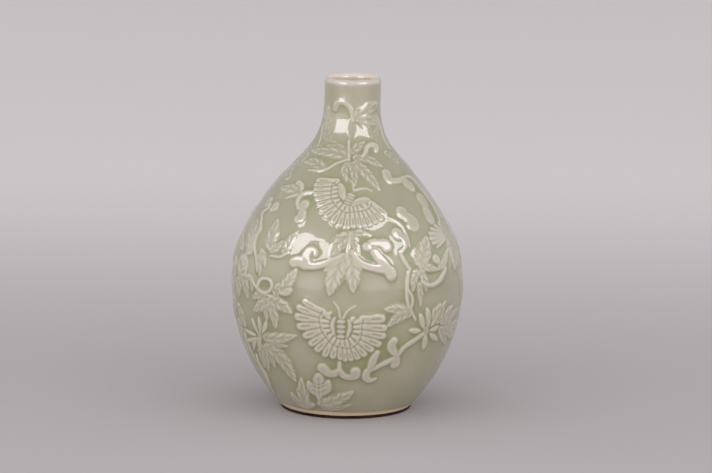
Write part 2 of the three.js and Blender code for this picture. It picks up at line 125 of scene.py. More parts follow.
@dataclass(frozen=True)
class PotLine:
    """The thrown pot's line, as radius and height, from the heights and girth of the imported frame.

    Attributes:
        belly: Greatest radius of the wall, drawn in a little to leave room for the relief.
        belly_height: Height of the seam at the belly.
        root_height: Height of the seam at the neck's root.
        lip_height: Height where the lip begins to round over.
        room: How far the glazed ground lies inside the clay's outer line.
        foot: Outer edge of the foot, where the wall starts.
        neck_root: Radius at the neck's root.
        neck: Radius where the neck stands upright.
        neck_sweep: Height of the flare between them.
        floor: Edge of the floor inside.
        floor_base: Height of the floor's underside, over the recess.
        recess: Radius of the recess under the foot.
        wall: Thickness of the wall at the belly.
        root_wall: Its thickness at the neck's root.
        lip_wall: Its thickness at the lip.
        lip_rise: How far the lip rounds up over its start.
        rise_slope: Degrees at which the wall leaves the foot and the floor.
        body_lean: Length of the upright handle under the belly, as a share of its height.
        body_reach: Length of the handle at the foot, in the same share.
        bowl_reach: Length of the handle at the floor's edge.
        shoulder: Slope at the neck's root, and the handles' shares there and at the belly.
        flare: The same for the neck's flare, from its root to where it stands upright.
    """

    belly: float
    belly_height: float
    root_height: float
    lip_height: float
    room: float = 0.1
    foot: Point = (47.3, 2.4)
    neck_root: float = 35.5
    neck: float = 20.2
    neck_sweep: float = 40.0
    floor: Point = (46.7, 12.5)
    floor_base: float = 5.5
    recess: float = 38.2
    wall: float = 5.0
    root_wall: float = 6.2
    lip_wall: float = 3.4
    lip_rise: float = 3.2
    rise_slope: float = 45
    body_lean: float = 0.39
    body_reach: float = 0.31
    bowl_reach: float = 0.25
    shoulder: tuple[float, float, float] = (-47.5, 0.7, 0.24)
    flare: tuple[float, float, float] = (132.5, 0.3, 0.55)

    def lower(self) -> np.ndarray:
        """Outer line from the foot to the belly."""
        size = self.belly_height
        top = (self.belly - self.room, size)
        return rising(self.foot, self.rise_slope, size * self.body_reach, top, size * self.body_lean)

    def upper(self, bare: float = 0.0, root_bare: float = 0.0) -> np.ndarray:
        """Shoulder line from the belly to the neck's root, inset by a wall at each end."""
        rise = self.root_height - self.belly_height
        belly = (self.belly - self.room - bare, self.belly_height)
        root = (self.neck_root - root_bare, self.root_height)
        slope, reach, lean = self.shoulder
        return rising(root, slope, rise * reach, belly, -rise * lean)[::-1]

    def sweep(self, bare: float = 0.0, root_bare: float = 0.0) -> np.ndarray:
        """Neck line from its root to where it stands upright."""
        root = (self.neck_root - root_bare, self.root_height)
        top = (self.neck - bare, self.root_height + self.neck_sweep)
        slope, reach, lean = self.flare
        return rising(root, slope, self.neck_sweep * reach, top, self.neck_sweep * lean)

    def collar(self) -> np.ndarray:
        """Outer neck line with the upright collar above it."""
        return np.vstack([self.sweep(), [(self.neck, self.lip_height)]])

    def lip(self) -> np.ndarray:
        """Lip as half an oval, from the outside over to the inside."""
        turn = np.linspace(0.0, math.pi, 33)
        half = self.lip_wall / 2
        return np.c_[self.neck - half + half * np.cos(turn), self.lip_height + self.lip_rise * np.sin(turn)]

    def throat(self) -> np.ndarray:
        """Inner neck line from the lip down to the root."""
        inner = self.sweep(self.lip_wall, self.root_wall)[::-1]
        return np.vstack([[(self.neck - self.lip_wall, self.lip_height)], inner])

    def inside(self) -> np.ndarray:
        """Inner line from the lip down to the edge of the floor."""
        shoulder = self.upper(self.wall, self.root_wall)[::-1]
        size = self.belly_height
        belly = (self.belly - self.room - self.wall, size)
        bowl = rising(self.floor, self.rise_slope, size * self.bowl_reach, belly, size * self.body_lean)
        return np.vstack([self.throat(), shoulder[1:], bowl[::-1][1:]])

    def under(self) -> np.ndarray:
        """Line from the edge of the floor in to the floor disc and down to the foot ring."""
        return np.array([(self.recess, self.floor[1]), (self.recess, self.foot[1])])


def run_along(line: np.ndarray) -> np.ndarray:
    """Distance run along a line up to each of its points."""
    return np.r_[0.0, np.cumsum(np.hypot(*np.diff(line, axis=0).T))]


def spaced(line: np.ndarray, pitch: float) -> np.ndarray:
    """The same line with points an even pitch apart."""
    run = run_along(line)
    steps = np.linspace(0.0, run[-1], max(2, int(round(run[-1] / pitch)) + 1))
    return np.c_[np.interp(steps, run, line[:, 0]), np.interp(steps, run, line[:, 1])]


@dataclass(frozen=True)
class Viewpoint:
    """Where the photograph was taken from, found from the rims of the lip and the foot.

    Attributes:
        distance: From the lens to the vase's axis, level.
        height: Of the lens over the table.
        tilt: Degrees below level.
        roll: Degrees that the camera leans, half of what the vase itself leans in the photograph.
        focal: Focal length in pixels of the photograph.
        axis_pixel: Column of the photograph that the vase's foot and belly are centred on.
        sensor: Width of the camera's film, in millimetres.
        axis_rows: Rows of the photograph at which the leaning axis was read.
        axis_columns: Where the axis stands in each of them.
        search: Shares of the distance between which a line of sight meets the wall.
        search_steps: Steps that it is followed in.
    """

    distance: float = 2717.0
    height: float = 607.0
    tilt: float = 10.08
    roll: float = 0.7
    focal: float = 3833.0
    axis_pixel: float = 347.6
    sensor: float = 36.0
    axis_rows: tuple[float, ...] = (77, 110, 150, 190, 260, 330, 380, 405)
    axis_columns: tuple[float, ...] = (352.8, 352.2, 350.3, 348, 347.6, 347.6, 346.6, 345.6)
    search: Point = (0.955, 1.01)
    search_steps: int = 1600

    def axis_at(self, y: np.ndarray) -> np.ndarray:
        """Where the vase's axis stands in the photograph's row y."""
        return np.interp(y, self.axis_rows, self.axis_columns)

    def on_wall(self, pixels: np.ndarray, line: np.ndarray) -> np.ndarray:
        """Places on the wall that pixels of the photograph show.

        Args:
            pixels: Rows of x and y.
            line: The pot's outer line.

        Returns:
            Rows of angle from the front, in radians, and height.
        """
        tilt = math.radians(self.tilt)
        across = (pixels[:, 0] - self.axis_at(pixels[:, 1])) / self.focal
        down = (pixels[:, 1] - PHOTO_HEIGHT / 2) / self.focal
        ahead = math.cos(tilt) - math.sin(tilt) * down
        fall = -math.sin(tilt) - math.cos(tilt) * down
        near, far = self.search
        travel = np.linspace(self.distance * near, self.distance * far, self.search_steps)[None, :]
        x = across[:, None] / ahead[:, None] * travel
        y = travel - self.distance
        z = self.height + fall[:, None] / ahead[:, None] * travel
        clear = np.hypot(x, y) - np.interp(z, line[:, 1], line[:, 0], left=0.0, right=0.0)
        first = np.argmax(clear < 0, axis=1)
        at = np.where((clear < 0).any(1), first, np.argmin(clear, axis=1))
        pick = np.arange(len(pixels))
        return np.c_[np.arctan2(x[pick, at], -np.broadcast_to(y, x.shape)[pick, at]), z[pick, at]]

    def make_camera(self) -> bpy.types.Object:
        """The scene's camera at this viewpoint."""
        data = bpy.data.cameras.new("photo_camera")
        data.sensor_width = self.sensor
        data.lens = self.focal * self.sensor / PHOTO_WIDTH
        data.clip_start, data.clip_end = 0.1, 50.0
        camera = add_object("photo_camera", data)
        camera.location = (0.0, -self.distance * MM, self.height * MM)
        yaw = (PHOTO_WIDTH / 2 - self.axis_pixel) / self.focal
        turn = Matrix.Rotation(-yaw, 4, "Z") @ Matrix.Rotation(math.radians(90 - self.tilt), 4, "X")
        camera.matrix_world = (
            Matrix.Translation(camera.location) @ turn @ Matrix.Rotation(math.radians(self.roll), 4, "Z")
        )
        bpy.context.scene.camera = camera
        return camera


def smooth_track(points: np.ndarray, per_span: int = 8) -> np.ndarray:
    """A Catmull-Rom line through points, ends included."""
    if len(points) == 2:
        share = np.linspace(0, 1, per_span + 1)[:, None]
        return points[0] * (1 - share) + points[1] * share
    p = np.vstack([2 * points[0] - points[1], points, 2 * points[-1] - points[-2]])
    t = np.linspace(0, 1, per_span, endpoint=False)[:, None]
    spans = [
        0.5 * (2 * b + (c - a) * t + (2 * a - 5 * b + 4 * c - d) * t**2 + (3 * b - a - 3 * c + d) * t**3)
        for a, b, c, d in zip(p, p[1:], p[2:], p[3:])
    ]
    return np.vstack([*spans, points[-1:]])


class Relief:
    """Height of the relief over the ground, on half of the developed wall, which repeats behind.

    Attributes:
        height: Rows up the wall by columns round half of it.
        LEAST_SEEN: Least share of a strip's width that is taken to show where the wall turns away.
        MARGIN: Width of wall measured beyond a strip's edge, in millimetres.
        FAR: Share of the half width that stands for no strip near.
        LEAST_HALF: Least half width of a strip, in millimetres.
        NIL: Least length that is divided by.
    """

    LEAST_SEEN = 0.45
    MARGIN = 0.6
    FAR = 9.0
    LEAST_HALF = 0.05
    NIL = 1e-9

    def __init__(self, line: np.ndarray, view: Viewpoint, columns: int) -> None:
        """Lays out the empty map.

        Args:
            line: Radius and height of each row of the wall.
            view: Where pixels of the photograph are read from.
            columns: How many columns go all the way round.
        """
        self.line = line
        self.view = view
        self.run = run_along(line)
        self.columns = columns // 2
        self.step = math.pi / self.columns
        self.height = np.zeros((len(line), self.columns))

    def sweep(self, pixels: Sequence[Point], widths: Sequence[float]) -> tuple:
        """Measures the wall round a strip.

        Args:
            pixels: The strip's middle, in pixels of the photograph.
            widths: Its half widths at even stations from end to end.

        Returns:
            The rows and columns of a window round the strip, and in it the distance from the
            middle as a share of the half width, the share of the length, and the side.
        """
        _, _, middle, flat = self.laid(pixels)
        track = smooth_track(flat)
        length = run_along(track)
        share = length / length[-1]
        half = np.interp(share, np.linspace(0, 1, len(widths)), widths)
        way = np.gradient(track, axis=0)
        way = way / np.maximum(np.hypot(way[:, 0], way[:, 1]), self.NIL)[:, None]
        turned = np.cos(middle + track[:, 0] / np.interp(track[:, 1], self.run, self.line[:, 0]))
        seen = np.hypot(way[:, 1] * turned, way[:, 0])
        half = half / np.maximum(seen, self.LEAST_SEEN)
        room = half.max() + self.MARGIN
        rows = np.flatnonzero((self.run > track[:, 1].min() - room) & (self.run < track[:, 1].max() + room))
        least = self.line[rows, 0].min()
        first, last = track[:, 0].min() - room, track[:, 0].max() + room
        columns, x, y = self.spread(rows, middle + first / least, middle + last / least, middle)
        return self.window(rows, columns), *self.nearest(np.c_[track, half, share], x, y)

    def nearest(
        self, track: np.ndarray, x: np.ndarray, y: np.ndarray
    ) -> tuple[np.ndarray, np.ndarray, np.ndarray]:
        """Measures places from the nearest part of a track.

        Args:
            track: Rows of x, y, half width and share of the length.
            x: How far across the places are.
            y: How far up they are.

        Returns:
            Their distance as a share of the half width, the share of the length, and the side.
        """
        near = np.full(x.shape, self.FAR)
        along, side = np.zeros(x.shape), np.zeros(x.shape)
        for (ax, ay, half, share), (bx, by, widens, runs) in zip(track, np.diff(track, axis=0)):
            span = max(bx * bx + by * by, self.NIL)
            t = np.clip(((x - ax) * bx + (y - ay) * by) / span, 0.0, 1.0)
            off = np.hypot(x - ax - t * bx, y - ay - t * by)
            q = off / np.maximum(half + t * widens, self.LEAST_HALF)
            closer = q < near
            near = np.where(closer, q, near)
            along = np.where(closer, share + t * runs, along)
            side = np.where(closer, np.sign(bx * (y - ay) - by * (x - ax)), side)
        return near, along, side

    def laid(self, pixels: Sequence[Point]) -> tuple[np.ndarray, np.ndarray, float, np.ndarray]:
        """Lays pixels of the photograph on the developed wall.

        Args:
            pixels: Rows of x and y.

        Returns:
            Their angles from the front, how far up the wall they are, their mean angle, and their
            places on the wall across from that angle and up.
        """
        placed = self.view.on_wall(np.array(pixels, float), self.line)
        rise = np.interp(placed[:, 1], self.line[:, 1], self.run)
        middle = placed[:, 0].mean()
        radius = np.interp(rise, self.run, self.line[:, 0])
        return placed[:, 0], rise, middle, np.c_[(placed[:, 0] - middle) * radius, rise]

    def spread(
        self, rows: np.ndarray, first: float, last: float, middle: float
    ) -> tuple[np.ndarray, np.ndarray, np.ndarray]:
        """The part of the developed wall between two angles.

        Args:
            rows: Its rows.
            first: The least angle from the front.
            last: The greatest.
            middle: The angle that it is measured across from.

        Returns:
            Its columns, counted from the front, and the places across and up at each row and column.
        """
        columns = np.arange(math.floor(first / self.step), math.ceil(last / self.step) + 1)
        x = self.line[rows, 0][:, None] * (columns * self.step - middle)[None, :]
        return columns, x, np.broadcast_to(self.run[rows][:, None], x.shape)

    def window(self, rows: np.ndarray, columns: np.ndarray) -> tuple[np.ndarray, np.ndarray]:
        """The places of rows and columns in the map, columns being counted from the front."""
        return rows[:, None], (columns[None, :] + self.columns // 2) % self.columns

    def inside_of(self, pixels: Sequence[Point]) -> tuple:
        """Measures the wall inside an outline.

        Args:
            pixels: Corners of the outline, in pixels of the photograph.

        Returns:
            The rows and columns of a window round it, and in it the depth inside the outline in
            millimetres, none outside.
        """
        turns, rise, middle, corners = self.laid(pixels)
        rows = np.flatnonzero((self.run > rise.min()) & (self.run < rise.max()))
        columns, x, y = self.spread(rows, turns.min(), turns.max(), middle)
        depth = np.full(x.shape, np.inf)
        within = np.zeros(x.shape, bool)
        for (ax, ay), (bx, by) in zip(corners, np.roll(corners, -1, axis=0)):
            dx, dy = bx - ax, by - ay
            t = np.clip(((x - ax) * dx + (y - ay) * dy) / max(dx * dx + dy * dy, self.NIL), 0.0, 1.0)
            depth = np.minimum(depth, np.hypot(x - ax - t * dx, y - ay - t * dy))
            crosses = (ay > y) != (by > y)
            within ^= crosses & (x < ax + (y - ay) * dx / (dy if dy else self.NIL))
        return self.window(rows, columns), np.where(within, depth, 0.0)

    def reach(self, pixels: Sequence[Point]) -> float:
        """Length on the wall of a line through pixels of the photograph, in millimetres."""
        turns, rise, _, _ = self.laid(pixels)
        radius = np.interp(rise, self.run, self.line[:, 0])
        steps = np.hypot(np.diff(turns) * (radius[1:] + radius[:-1]) / 2, np.diff(rise))
        return float(steps.sum())

    def lay(self, window: tuple, lift: np.ndarray) -> None:
        """Adds clay up to a height, where it isn't there already."""
        self.height[window] = np.maximum(self.height[window], lift)

    def cut(self, window: tuple, depth: np.ndarray) -> None:
        """Takes clay away down to the ground."""
        self.height[window] = np.maximum(self.height[window] - depth, 0.0)

    def softened(self, field: np.ndarray, reach: float) -> np.ndarray:
        """A map blurred over a reach in millimetres, the same along the wall as round it."""
        apart = self.run[:, None] - self.run[None, :]
        weights = np.exp(-0.5 * (apart / reach) ** 2) * np.gradient(self.run)[None, :]
        mixed = (weights / weights.sum(1, keepdims=True)) @ field
        waves = np.fft.rfftfreq(self.columns, d=1.0) * 2 * math.pi
        cells = reach / (self.line[:, 0] * self.step)
        gain = np.exp(-0.5 * (waves[None, :] * cells[:, None]) ** 2)
        return np.fft.irfft(np.fft.rfft(mixed, axis=1) * gain, n=self.columns, axis=1)


def trough(off: np.ndarray, half: float) -> np.ndarray:
    """A smooth trough of a half width, one at its middle and almost nothing past twice the half."""
    return np.exp(-((off / half) ** 2))


@dataclass(frozen=True)
class Strip:
    """A strip of clay pressed on the wall.

    Attributes:
        pixels: Its middle, as the photograph shows it.
        widths: Half widths at even stations, in pixels of the photograph.
        lift: How far it stands proud.
        section: Its cross-section.
    """

    pixels: Sequence[Point]
    widths: Sequence[float] = (1.4,)
    lift: float = 1.2
    section: Section = Section.PAD

    def press(self, relief: Relief) -> None:
        """Draws the strip on the relief."""
        a, b = self.section.value
        window, near, _, _ = relief.sweep(self.pixels, [w * PIXEL for w in self.widths])
        relief.lay(window, self.lift * (1 - np.minimum(near, 1) ** a) ** b)


@dataclass(frozen=True)
class Groove:
    """A groove pressed into the clay.

    Attributes:
        pixels: Its middle, as the photograph shows it.
        depth: How deep it is.
        width: Its half width, in pixels of the photograph.
    """

    pixels: Sequence[Point]
    depth: float = 0.4
    width: float = 0.7

    def press(self, relief: Relief) -> None:
        """Draws the groove on the relief."""
        window, near, _, _ = relief.sweep(self.pixels, [self.width * 2 * PIXEL])
        relief.cut(window, self.depth * trough(near, 0.5) * (near < 1))


@dataclass(frozen=True)
class Plate:
    """A flat piece of clay with a rounded edge.

    Attributes:
        outline: Its corners, in pixels of the photograph.
        lift: How far it stands proud.
        rounding: Width of its rounded edge.
    """

    outline: Sequence[Point]
    lift: float = 1.0
    rounding: float = 0.8

    def press(self, relief: Relief) -> None:
        """Draws the plate on the relief."""
        window, depth = relief.inside_of(self.outline)
        q = 1 - np.clip(depth / self.rounding, 0, 1)
        relief.lay(window, self.lift * np.sqrt(1 - q**2) * (depth > 0))


@dataclass(frozen=True)
class Leaf:
    """A toothed leaf with a midrib, side veins and soft pads between them.

    Attributes:
        pixels: Its midrib from the stalk to the tip, as the photograph shows it.
        width: Greatest half width, in pixels of the photograph.
        lobes: Teeth on each side.
        lift: How far its pads stand proud.
        notch: How far the edge is drawn in behind a tooth, as a share.
        fullness: What the width is drawn larger by, for the teeth that are cut from it.
        roundness: Power of the outline, lower being rounder.
        least_half: Least half width, in pixels of the photograph.
        swept: How far forward the side veins run from the rib to the edge, as a share of the length.
        stagger: How far the veins of one side start behind those of the other, in lobes.
        swell: Share of the lift that the pads between the veins swell by.
        vein: Half width and depth of the side veins.
        valley: Half width and depth of the valley along the middle.
        rib: Half width and height of the midrib in it.
    """

    pixels: Sequence[Point]
    width: float
    lobes: int = 3
    lift: float = 1.15
    notch: float = 0.28
    fullness: float = 1.14
    roundness: float = 0.66
    least_half: float = 0.45
    swept: float = 0.22
    stagger: float = 0.35
    swell: float = 0.38
    vein: Point = (0.55, 0.3)
    valley: Point = (0.85, 0.5)
    rib: Point = (0.35, 0.5)

    def press(self, relief: Relief) -> None:
        """Draws the leaf on the relief."""
        shares = np.linspace(0, 1, 49)
        outline = np.sin(math.pi * shares**self.roundness) ** self.roundness
        tooth = (shares * self.lobes) % 1.0
        widths = self.width * self.fullness * outline * (1 - self.notch * (1 - tooth))
        widths = np.maximum(widths, self.least_half) * PIXEL
        window, near, along, side = relief.sweep(self.pixels, widths)
        q = np.minimum(near, 1.0)
        late = np.where(side > 0, 0.0, self.stagger * (1 - q))
        beat = (self.lobes * (along + self.swept * (1 - q) ** 1.3) + late) % 1.0
        swell = self.swell * np.sin(math.pi * beat**1.2) ** 0.7 * np.clip(0.35 + q, 0, 1)
        crown = (1 - q**3) ** 0.7 * (1 - self.swell + swell)
        fades = np.clip((1 - along) * 4, 0, 1)
        apart = np.minimum(beat, 1 - beat) * relief.reach(self.pixels) / self.lobes
        across = near * np.interp(along, shares, widths)
        (vein, cut), (valley, sunk), (rib, risen) = self.vein, self.valley, self.rib
        lift = self.lift * (
            crown - cut * trough(apart, vein) * fades * np.clip(q * 5, 0.25, 1)
            - sunk * trough(across, valley) * fades + risen * trough(across, rib) * fades
        )
        relief.lay(window, np.where(near < 1, np.maximum(lift, 0.05), 0.0))


Motif = Strip | Leaf | Groove | Plate


def pad(*pixels: Point, wide: Sequence[float], lift: float = 1.2) -> Strip:
    """A flat-topped lobe of a scroll."""
    return Strip(pixels, wide, lift)


def stem(*pixels: Point, wide: float = 1.4, lift: float = 1.0) -> Strip:
    """A round stem, thinner at its ends."""
    return Strip(pixels, (wide * 0.7, wide, wide, wide * 0.7), lift, Section.ROLL)


def petal(*pixels: Point, wide: float, lift: float = 1.1) -> Strip:
    """A pointed petal with a crest."""
    return Strip(pixels, (0.5, wide * 0.8, wide, wide * 0.8, 0.4), lift, Section.ROLL)


def flower(wide: float, *petals: Sequence[Point]) -> list[Strip]:
    """The petals of a flower."""
    return [petal(*pixels, wide=wide) for pixels in petals]


@dataclass(frozen=True)
class Butterfly:
    """A butterfly of ribbed wings.

    Attributes:
        cells: Each finger of a wing as its inner end, its outer end, and the half widths there.
        scallops: The small cells inside the fingers, as the ends of each and its half width.
        pads: Outlines of the flat pads at the wings' roots.
        ridges: Round ridges there.
        body: The body's middle from head to tail.
        feelers: The two feelers, with the half width of each.
        lift: How far the fingers stand proud.
        palm, cell, root: Heights of the plate under the fingers, of the scallops and of the pads,
            as shares of the lift.
        trunk, segment, feeler: Heights of the body, of the rings on it and of the feelers.
        segments: How many rings the body has.
    """

    cells: Sequence[tuple[Point, Point, float, float]]
    scallops: Sequence[tuple[Point, Point, float]]
    pads: Sequence[Sequence[Point]]
    ridges: Sequence[Sequence[Point]]
    body: Sequence[Point]
    feelers: Sequence[tuple[Sequence[Point], float]]
    lift: float = 1.15
    palm: float = 0.86
    cell: float = 0.95
    root: float = 0.8
    trunk: float = 0.3
    segment: float = 0.75
    feeler: float = 0.7
    segments: int = 5

    def press(self, relief: Relief) -> None:
        """Draws the butterfly on the relief."""
        rim = [inner for inner, *_ in self.cells]
        margin = [np.add(outer, np.subtract(inner, outer) * 0.12) for inner, outer, *_ in self.cells]
        Plate([*margin, *rim[::-1]], self.lift * self.palm, 0.9).press(relief)
        for inner, outer, narrow, broad in self.cells:
            widths = (narrow * 1.5, narrow * 1.4, (narrow + broad) * 0.64, broad * 1.16, broad * 1.1)
            Strip((inner, outer), widths, self.lift, Section.PLATE).press(relief)
        for inner, outer, half in self.scallops:
            Strip((inner, outer), (half, half * 1.3, half * 1.4), self.lift * self.cell).press(relief)
        self.part(relief, [c[:2] for c in self.cells], 0.8)
        self.part(relief, [c[:2] for c in self.scallops], 0.6)
        Groove(rim, 0.8, 0.7).press(relief)
        for inner, outer, _, broad in self.cells:
            a, b = np.array(inner, float), np.array(outer, float)
            Groove((a + (b - a) * 0.52, a + (b - a) * 0.9), 0.7, broad * 0.26).press(relief)
        for outline in self.pads:
            Plate(outline, self.lift * self.root, 1.3).press(relief)
        for ridge in self.ridges:
            Strip(ridge, (0.9, 2.1, 2.1, 0.9), self.lift, Section.ROLL).press(relief)
        self.press_body(relief)
        for middle, half in self.feelers:
            widths = (half, half * 0.9, half * 0.7, half * 0.4)
            Strip(middle, widths, self.lift * self.feeler, Section.ROLL).press(relief)

    def press_body(self, relief: Relief) -> None:
        """Presses the body and the rings across it."""
        Strip(self.body, (2.2, 3.0, 3.2, 2.8, 1.8), self.lift * self.trunk, Section.ROLL).press(relief)
        head, tail = np.array(self.body[0], float), np.array(self.body[-1], float)
        square = (tail - head)[::-1] * (-1, 1)
        square = square / np.hypot(*square) * 2.9
        for share in np.linspace(0.12, 0.98, self.segments):
            middle = head + (tail - head) * share
            ends = (middle - square, middle + square)
            Strip(ends, (1.3, 1.9, 1.3), self.lift * self.segment, Section.ROLL).press(relief)

    def part(self, relief: Relief, fingers: Sequence[tuple[Point, Point]], depth: float) -> None:
        """Presses a groove between each finger and the next."""
        for (a, b), (c, d) in zip(fingers, fingers[1:]):
            start = np.add(a, c) / 2
            Groove((start, start + (np.add(b, d) / 2 - start) * 1.04), depth, 0.5).press(relief)


LOWER_BUTTERFLY = Butterfly(
    cells=[
        ((323, 311.5), (305.5, 302.5), 2.1, 2.5),
        ((321, 316), (300, 308.5), 1.9, 2.8),
        ((320, 320), (299, 317.3), 1.8, 3.4),
        ((321, 325), (301, 327), 1.9, 3.3),
        ((322.5, 330), (307, 336), 1.9, 3.2),
        ((325.5, 335), (312.5, 343.7), 1.9, 3.1),
        ((328.5, 339), (318.5, 349.5), 1.8, 3.1),
        ((332, 343), (326, 354.5), 1.7, 2.9),
        ((336.5, 346), (333.7, 356), 1.6, 2.9),
        ((341, 347), (341, 357.5), 1.5, 2.5),
        ((345.3, 348), (346, 359), 1.6, 2.6),
        ((349, 348), (351.7, 358.5), 1.7, 2.8),
        ((353, 347), (358, 356.7), 1.8, 3.0),
        ((356.5, 344.5), (364.5, 353.5), 1.9, 3.1),
        ((359.5, 341), (371.5, 348.7), 2.0, 3.1),
        ((361.5, 336.7), (379, 343.5), 2.1, 3.2),
        ((362.5, 331.5), (383.5, 335.3), 2.1, 3.3),
        ((362.5, 326.3), (384.5, 327.7), 2.1, 3.2),
        ((364, 319.3), (382, 318.3), 3.0, 3.9),
    ],
    scallops=[
        ((330, 318), (325, 313), 2.3),
        ((329, 321.8), (323.5, 321.3), 1.8),
        ((329, 326), (324, 326), 1.8),
        ((330, 330.5), (326, 331.5), 1.9),
        ((332.5, 334.5), (329.5, 337.5), 2.0),
        ((335.5, 338), (333.5, 341.5), 1.9),
        ((339, 340.5), (338, 344), 1.9),
        ((343.5, 341), (343.5, 345), 1.9),
        ((347.5, 340.5), (348.3, 344.5), 1.9),
        ((351, 338.5), (353.5, 343), 1.9),
        ((354, 335.8), (358.5, 338.3), 2.0),
        ((355.5, 331.2), (360, 331.5), 1.9),
        ((355.5, 326.8), (360, 326.5), 1.9),
        ((355.5, 322.3), (360, 321), 2.0),
    ],
    pads=[
        [(337, 316.5), (333.5, 318.5), (331, 323), (331, 328), (333, 333.5), (337, 337), (336, 331),
         (335.3, 325), (336.3, 320)],
        [(348, 319), (351.5, 320.5), (353, 325), (352.5, 331), (350, 336), (346.5, 339), (347, 334),
         (348.6, 328), (348.6, 323)],
    ],
    ridges=[
        [(332, 312.5), (329, 315), (328, 318)],
        [(355, 317.5), (353, 319), (352.3, 321)],
    ],
    body=[(342, 319), (341.8, 325), (341.8, 331), (341.6, 337), (341.5, 342)],
    feelers=[
        ([(341, 317.5), (339.3, 309.5), (336.5, 305), (334, 302)], 1.2),
        ([(344, 318.5), (347.5, 312.5), (352, 308.5), (356.5, 306)], 1.2),
    ],
)

UPPER_BUTTERFLY = Butterfly(
    cells=[
        ((336, 181.8), (318.5, 181.5), 2.2, 3.0),
        ((332, 185.3), (315.5, 185.7), 1.5, 2.1),
        ((331, 189.6), (315, 190.2), 1.6, 2.1),
        ((330.5, 193.8), (315, 195), 1.5, 2.1),
        ((330.5, 197.8), (316.5, 200), 1.5, 2.2),
        ((332, 201.5), (318.5, 205.3), 1.5, 2.4),
        ((334.3, 205), (321.5, 211), 1.6, 2.6),
        ((337, 208), (326.5, 216.5), 1.7, 2.9),
        ((340.5, 210.5), (333.5, 222), 1.7, 2.9),
        ((343.8, 212.5), (340, 225.5), 1.7, 2.7),
        ((347.5, 213.5), (346.4, 227), 1.6, 2.8),
        ((351.8, 212.5), (353, 225.8), 1.6, 2.7),
        ((355.7, 212), (358.5, 225.8), 1.6, 2.6),
        ((359.5, 211.5), (364, 225.5), 1.6, 2.5),
        ((363, 210.8), (369.5, 224.5), 1.6, 2.5),
        ((366.5, 209.5), (375, 221.8), 1.6, 2.5),
        ((369.5, 207.5), (380.5, 219), 1.6, 2.5),
        ((370.5, 203.8), (384.5, 213.7), 2.4, 2.6),
    ],
    scallops=[
        ((336, 188.2), (332.5, 188.7), 1.6),
        ((336, 192.2), (332.5, 192.5), 1.6),
        ((336.5, 196.4), (333, 197), 1.6),
        ((338, 200.4), (334.8, 201.7), 1.7),
        ((340.5, 203.7), (338, 206), 1.7),
        ((343.5, 206), (342, 209), 1.7),
        ((347.2, 208), (347, 210.8), 1.7),
        ((350.8, 208), (351.3, 210), 1.5),
        ((354.5, 207.8), (355.5, 209.8), 1.5),
        ((358.3, 207), (359.7, 209), 1.5),
        ((362.5, 204.6), (364.5, 206.5), 2.2),
    ],
    pads=[
        [(336.5, 186), (338.5, 183.3), (342, 184), (344.5, 188), (345.8, 194), (346, 200), (342.5, 201),
         (339, 197.5), (337, 192)],
        [(350, 206), (352.5, 201), (358, 197.6), (364.5, 196.6), (370, 198.8), (369, 202.8), (363, 204.6),
         (356.5, 206.2), (352, 208)],
    ],
    ridges=[
        [(340.3, 187), (341.5, 192), (343.5, 197.5)],
        [(354.5, 202.5), (360, 200), (366, 199.5)],
    ],
    body=[(351, 194), (349.5, 198), (348, 201.5), (347, 204.5), (346.7, 207)],
    feelers=[
        ([(352.5, 190), (351.8, 184), (348.5, 180), (344.5, 177)], 1.1),
        ([(353, 190.8), (359, 188.8), (366, 188.8), (371, 191)], 1.6),
    ],
)


